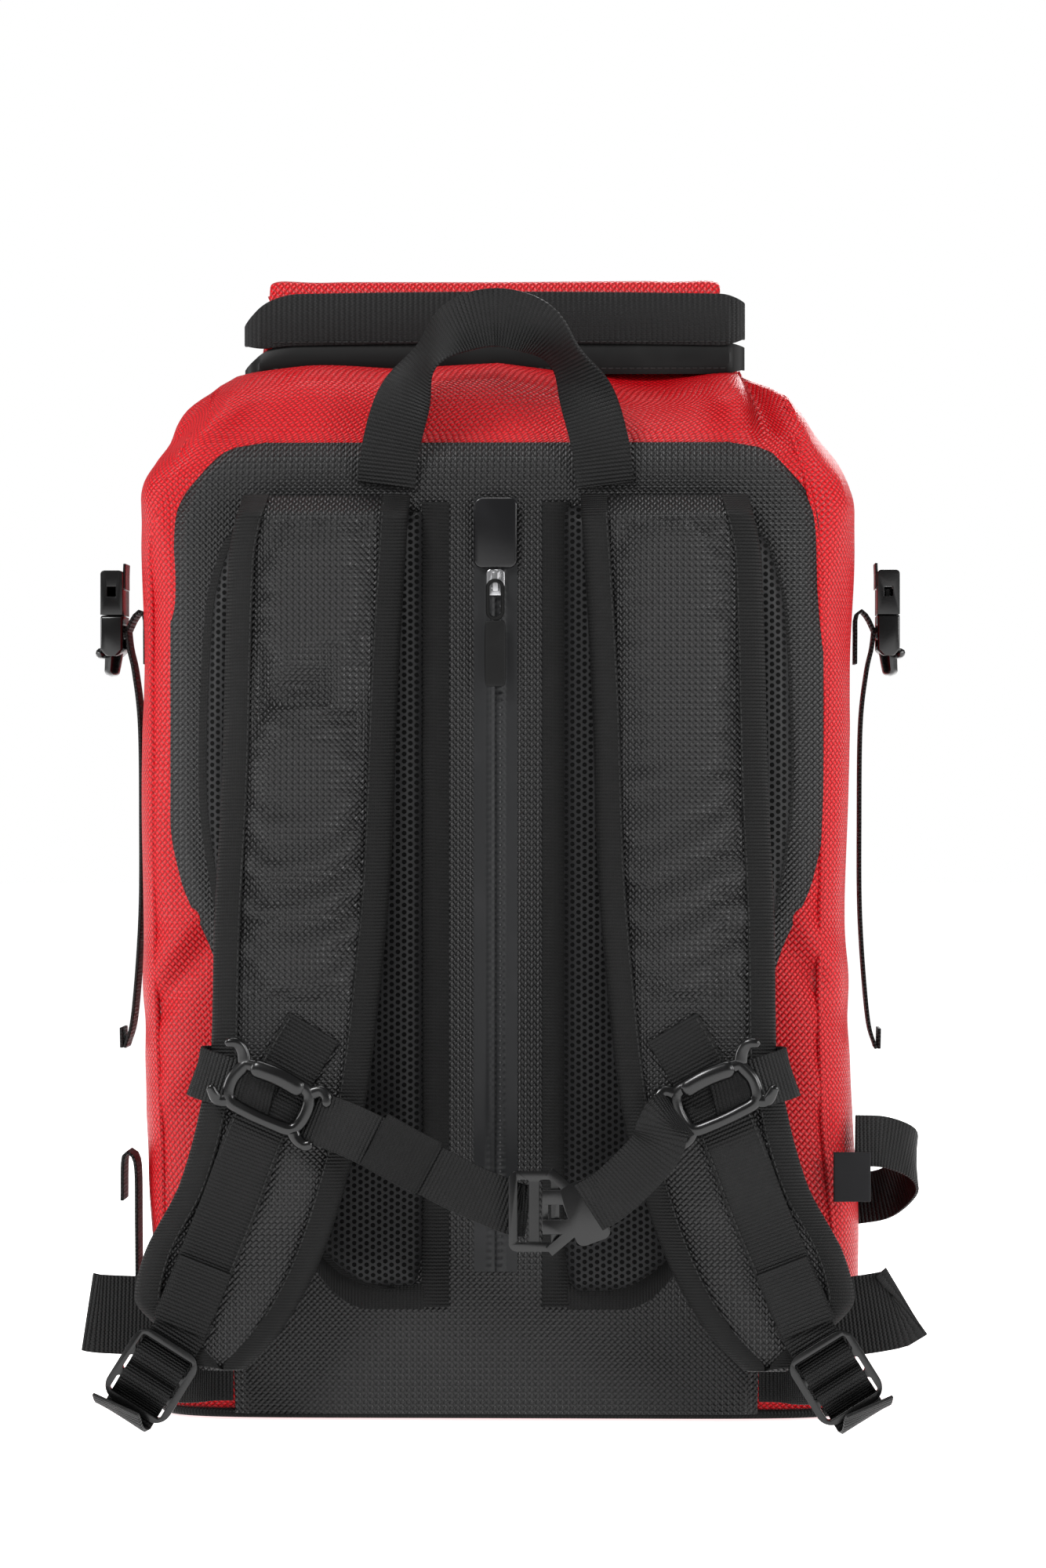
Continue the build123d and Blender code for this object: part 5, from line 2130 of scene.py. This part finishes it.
@dataclass
class SideGear:
    """Side buckle, its webs and the lower side webbing on one side."""

    hand: Hand
    bag: Bag

    def build(self) -> None:
        """Make the buckle halves, the tail, the anchor web and the side web."""
        tag, k, s = self.hand.tag, self.hand.value, MM
        for node, body in (("side_adjuster", "side_buckle"), ("side_socket", "side_socket")):
            piece = Bench.moulded(f"{node}_{tag}", 1.2 * s)
            Bench.dress(piece, Finishes.PLASTIC, f"{body}_{tag}", "moulded_plastic")
        adjuster, tail_box = Span(f"side_adjuster_{tag}"), Span(f"adjuster_tail_{tag}")
        self.buckle_trim(adjuster)
        patch = Span(f"buckle_anchor_{tag}")
        wall = patch.x1 if k < 0 else patch.x0
        inner = adjuster.x1 if k < 0 else adjuster.x0
        y = adjuster.y
        path = [
            *line((inner, y, adjuster.z0), (-1.2, 0, 14), (-2.4, 0, 4), (-5, 0, -8), flip=k),
            *line((wall, y, adjuster.z0), (3.6, 0, -34), (3, 0, -80), (3.4, 0, -130), flip=k),
            *line((wall, y, tail_box.z0), (7, 0, 18), (11, 0, 2), flip=k),
        ]
        tail = Webbing(f"buckle_tail_{tag}", path, 25 * s, (0, 1, 0)).build(Finishes.WEB)
        hem_path = line(path[-1], (1.6, 0, 10), (1.4, 0, 0), flip=k)
        hem = Webbing(f"buckle_hem_{tag}", hem_path, 25 * s, (0, 1, 0)).build(Finishes.WEB)
        Bench.tie(f"side_buckle_{tag}", "webbing", tail, hem)
        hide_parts(f"adjuster_tail_{tag}")
        path = [
            *line((wall, y, patch.z0), (0.9, 0, 0), (1, 0, 14), flip=k),
            *line((wall, y, patch.z1), (1.2, 0, -3), (3.5, 0, 0.5), (7, 0, -3), flip=k),
            *line((inner, y, patch.z1), (-1.2, 0, -10), flip=k),
        ]
        anchor = Webbing(f"buckle_anchor_web_{tag}", path, 25 * s, (0, 1, 0)).build(Finishes.WEB)
        Bench.tie("pack", "webbing", anchor)
        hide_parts(f"buckle_anchor_{tag}")
        self.lower_web()
        LOG.info("side gear %s", tag)

    def buckle_trim(self, adjuster: Span) -> None:
        """Mould the buckle's thumb roll, its tapered heel and the release plate.

        Args:
            adjuster: box of the adjuster half.
        """
        tag, k, s = self.hand.tag, self.hand.value, MM
        outer = adjuster.x1 if k > 0 else adjuster.x0
        inner = adjuster.x0 if k > 0 else adjuster.x1
        foot = adjuster.z0
        roll = [
            *line((outer, adjuster.y0, foot), (0.2, 2, 1.5), flip=k),
            *line((outer, adjuster.y, foot), (0.2, 0, 1.5), flip=k),
            *line((outer, adjuster.y1, foot), (0.2, -2, 1.5), flip=k),
        ]
        thumb = Tube(f"thumb_roll_{tag}", roll, 2.7 * s, side=(0, 0, 1)).build(Finishes.PLASTIC)
        heel_line = line((adjuster.x, adjuster.y, foot), (0, 0, 8), (0.6, 0, -1), (1.6, 0, -10), flip=k)
        heel = Tube(f"buckle_heel_{tag}", heel_line, 14 * s, flat=0.36, side=(1, 0, 0), taper=0.72)
        heel = heel.build(Finishes.PLASTIC)
        plate_line = line((inner, adjuster.y, adjuster.z1), (-0.2, 0, -1), (-0.2, 0, 6), (-0.4, 0, 12), flip=k)
        plate = Webbing(f"release_plate_{tag}", plate_line, 22 * s, (0, 1, 0), thick=1.3 * s)
        plate = plate.build(Finishes.PLASTIC)
        Bench.tie(f"side_buckle_{tag}", "moulded_plastic", thumb, heel, plate)

    def lower_web(self) -> None:
        """Make the lower side webbing and, on the right, the label."""
        k, s = self.hand.value, MM
        box = Span(f"side_strap_{self.hand.tag}")
        wall = self.bag.middle + k * self.bag.half
        if self.hand is Hand.LEFT:
            path = line((wall, box.y, box.z0), (-1.2, 0, -10), (-1.4, 0, 20))
            path += line((wall, box.y, box.z1), (-1.8, 0, -8), (-4.5, 0, -1), (-8, 0, -3), (-8.5, 0, -24))
        else:
            path = [
                *line((wall, box.y0, box.z), (-1, -2, 10), (14, 1, 9), (27, 10, 3)),
                *line((wall, box.y, box.z), (28, 0, -6)),
                *line((wall, box.y1, box.z), (16, -8, -18), (-1, -2, -22)),
            ]
        side = (0, 1, 0) if self.hand is Hand.LEFT else (0, 0.2, 1)
        web = Webbing(f"side_webbing_{self.hand.tag}", path, 25 * s, side).build(Finishes.WEB)
        Bench.tie("pack", "webbing", web)
        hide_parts(f"side_strap_{self.hand.tag}")
        if self.hand is Hand.RIGHT:
            self.label()

    def label(self) -> None:
        """Fold a plain woven label into the side seam."""
        box, s = Span("side_label"), MM

        def place(u: Array, v: Array) -> Array:
            """Lay the piece's points.

            Args:
                u: share across, from 0 to 1.
                v: share along, from 0 to 1.

            Returns:
                One row of x, y, z for each pair.
            """
            x = box.x0 + (box.x1 - box.x0) * u
            z = box.z0 + (box.z1 - box.z0) * v
            y = box.y - 1.2 * s + 0.8 * s * np.sin(u * 2.2 + v)
            return np.stack([x, y, z], axis=-1)

        label = Bench.sheet("woven_label", 16, 20, place)
        Bench.modify(label, "SOLIDIFY", thickness=1.0 * s, offset=0.0)
        Bench.modify(label, "BEVEL", width=0.3 * s, segments=2, limit_method="ANGLE")
        Bench.dress(label, Finishes.LABEL, "pack", "label_cloth", "side_label")


# ---------------------------------------------------------------- assembly


def dress_inner_nodes() -> None:
    """Give the CAD nodes that stay their finishes."""
    finishes = {"mouth_stiffener": Finishes.SHEET}
    for node, finish in finishes.items():
        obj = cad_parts[node]
        obj.data.materials.clear()
        obj.data.materials.append(finish.material())
        LOG.info("inner node %s", node)


def main() -> None:
    """Build the scene in order."""
    studio = Studio()
    studio.camera()
    bag = Bag()
    bag.build()
    BackPanel(bag).build()
    for hand in Hand:
        ShoulderStrap(hand, bag).build()
        LowerHarness(hand, bag).build()
        SideGear(hand, bag).build()
    ChestStrap(bag).build()
    HaulLoop(bag).build()
    dress_inner_nodes()
    studio.floor()
    studio.lights()
    Bench.clear()


if __name__ == "__main__":
    main()
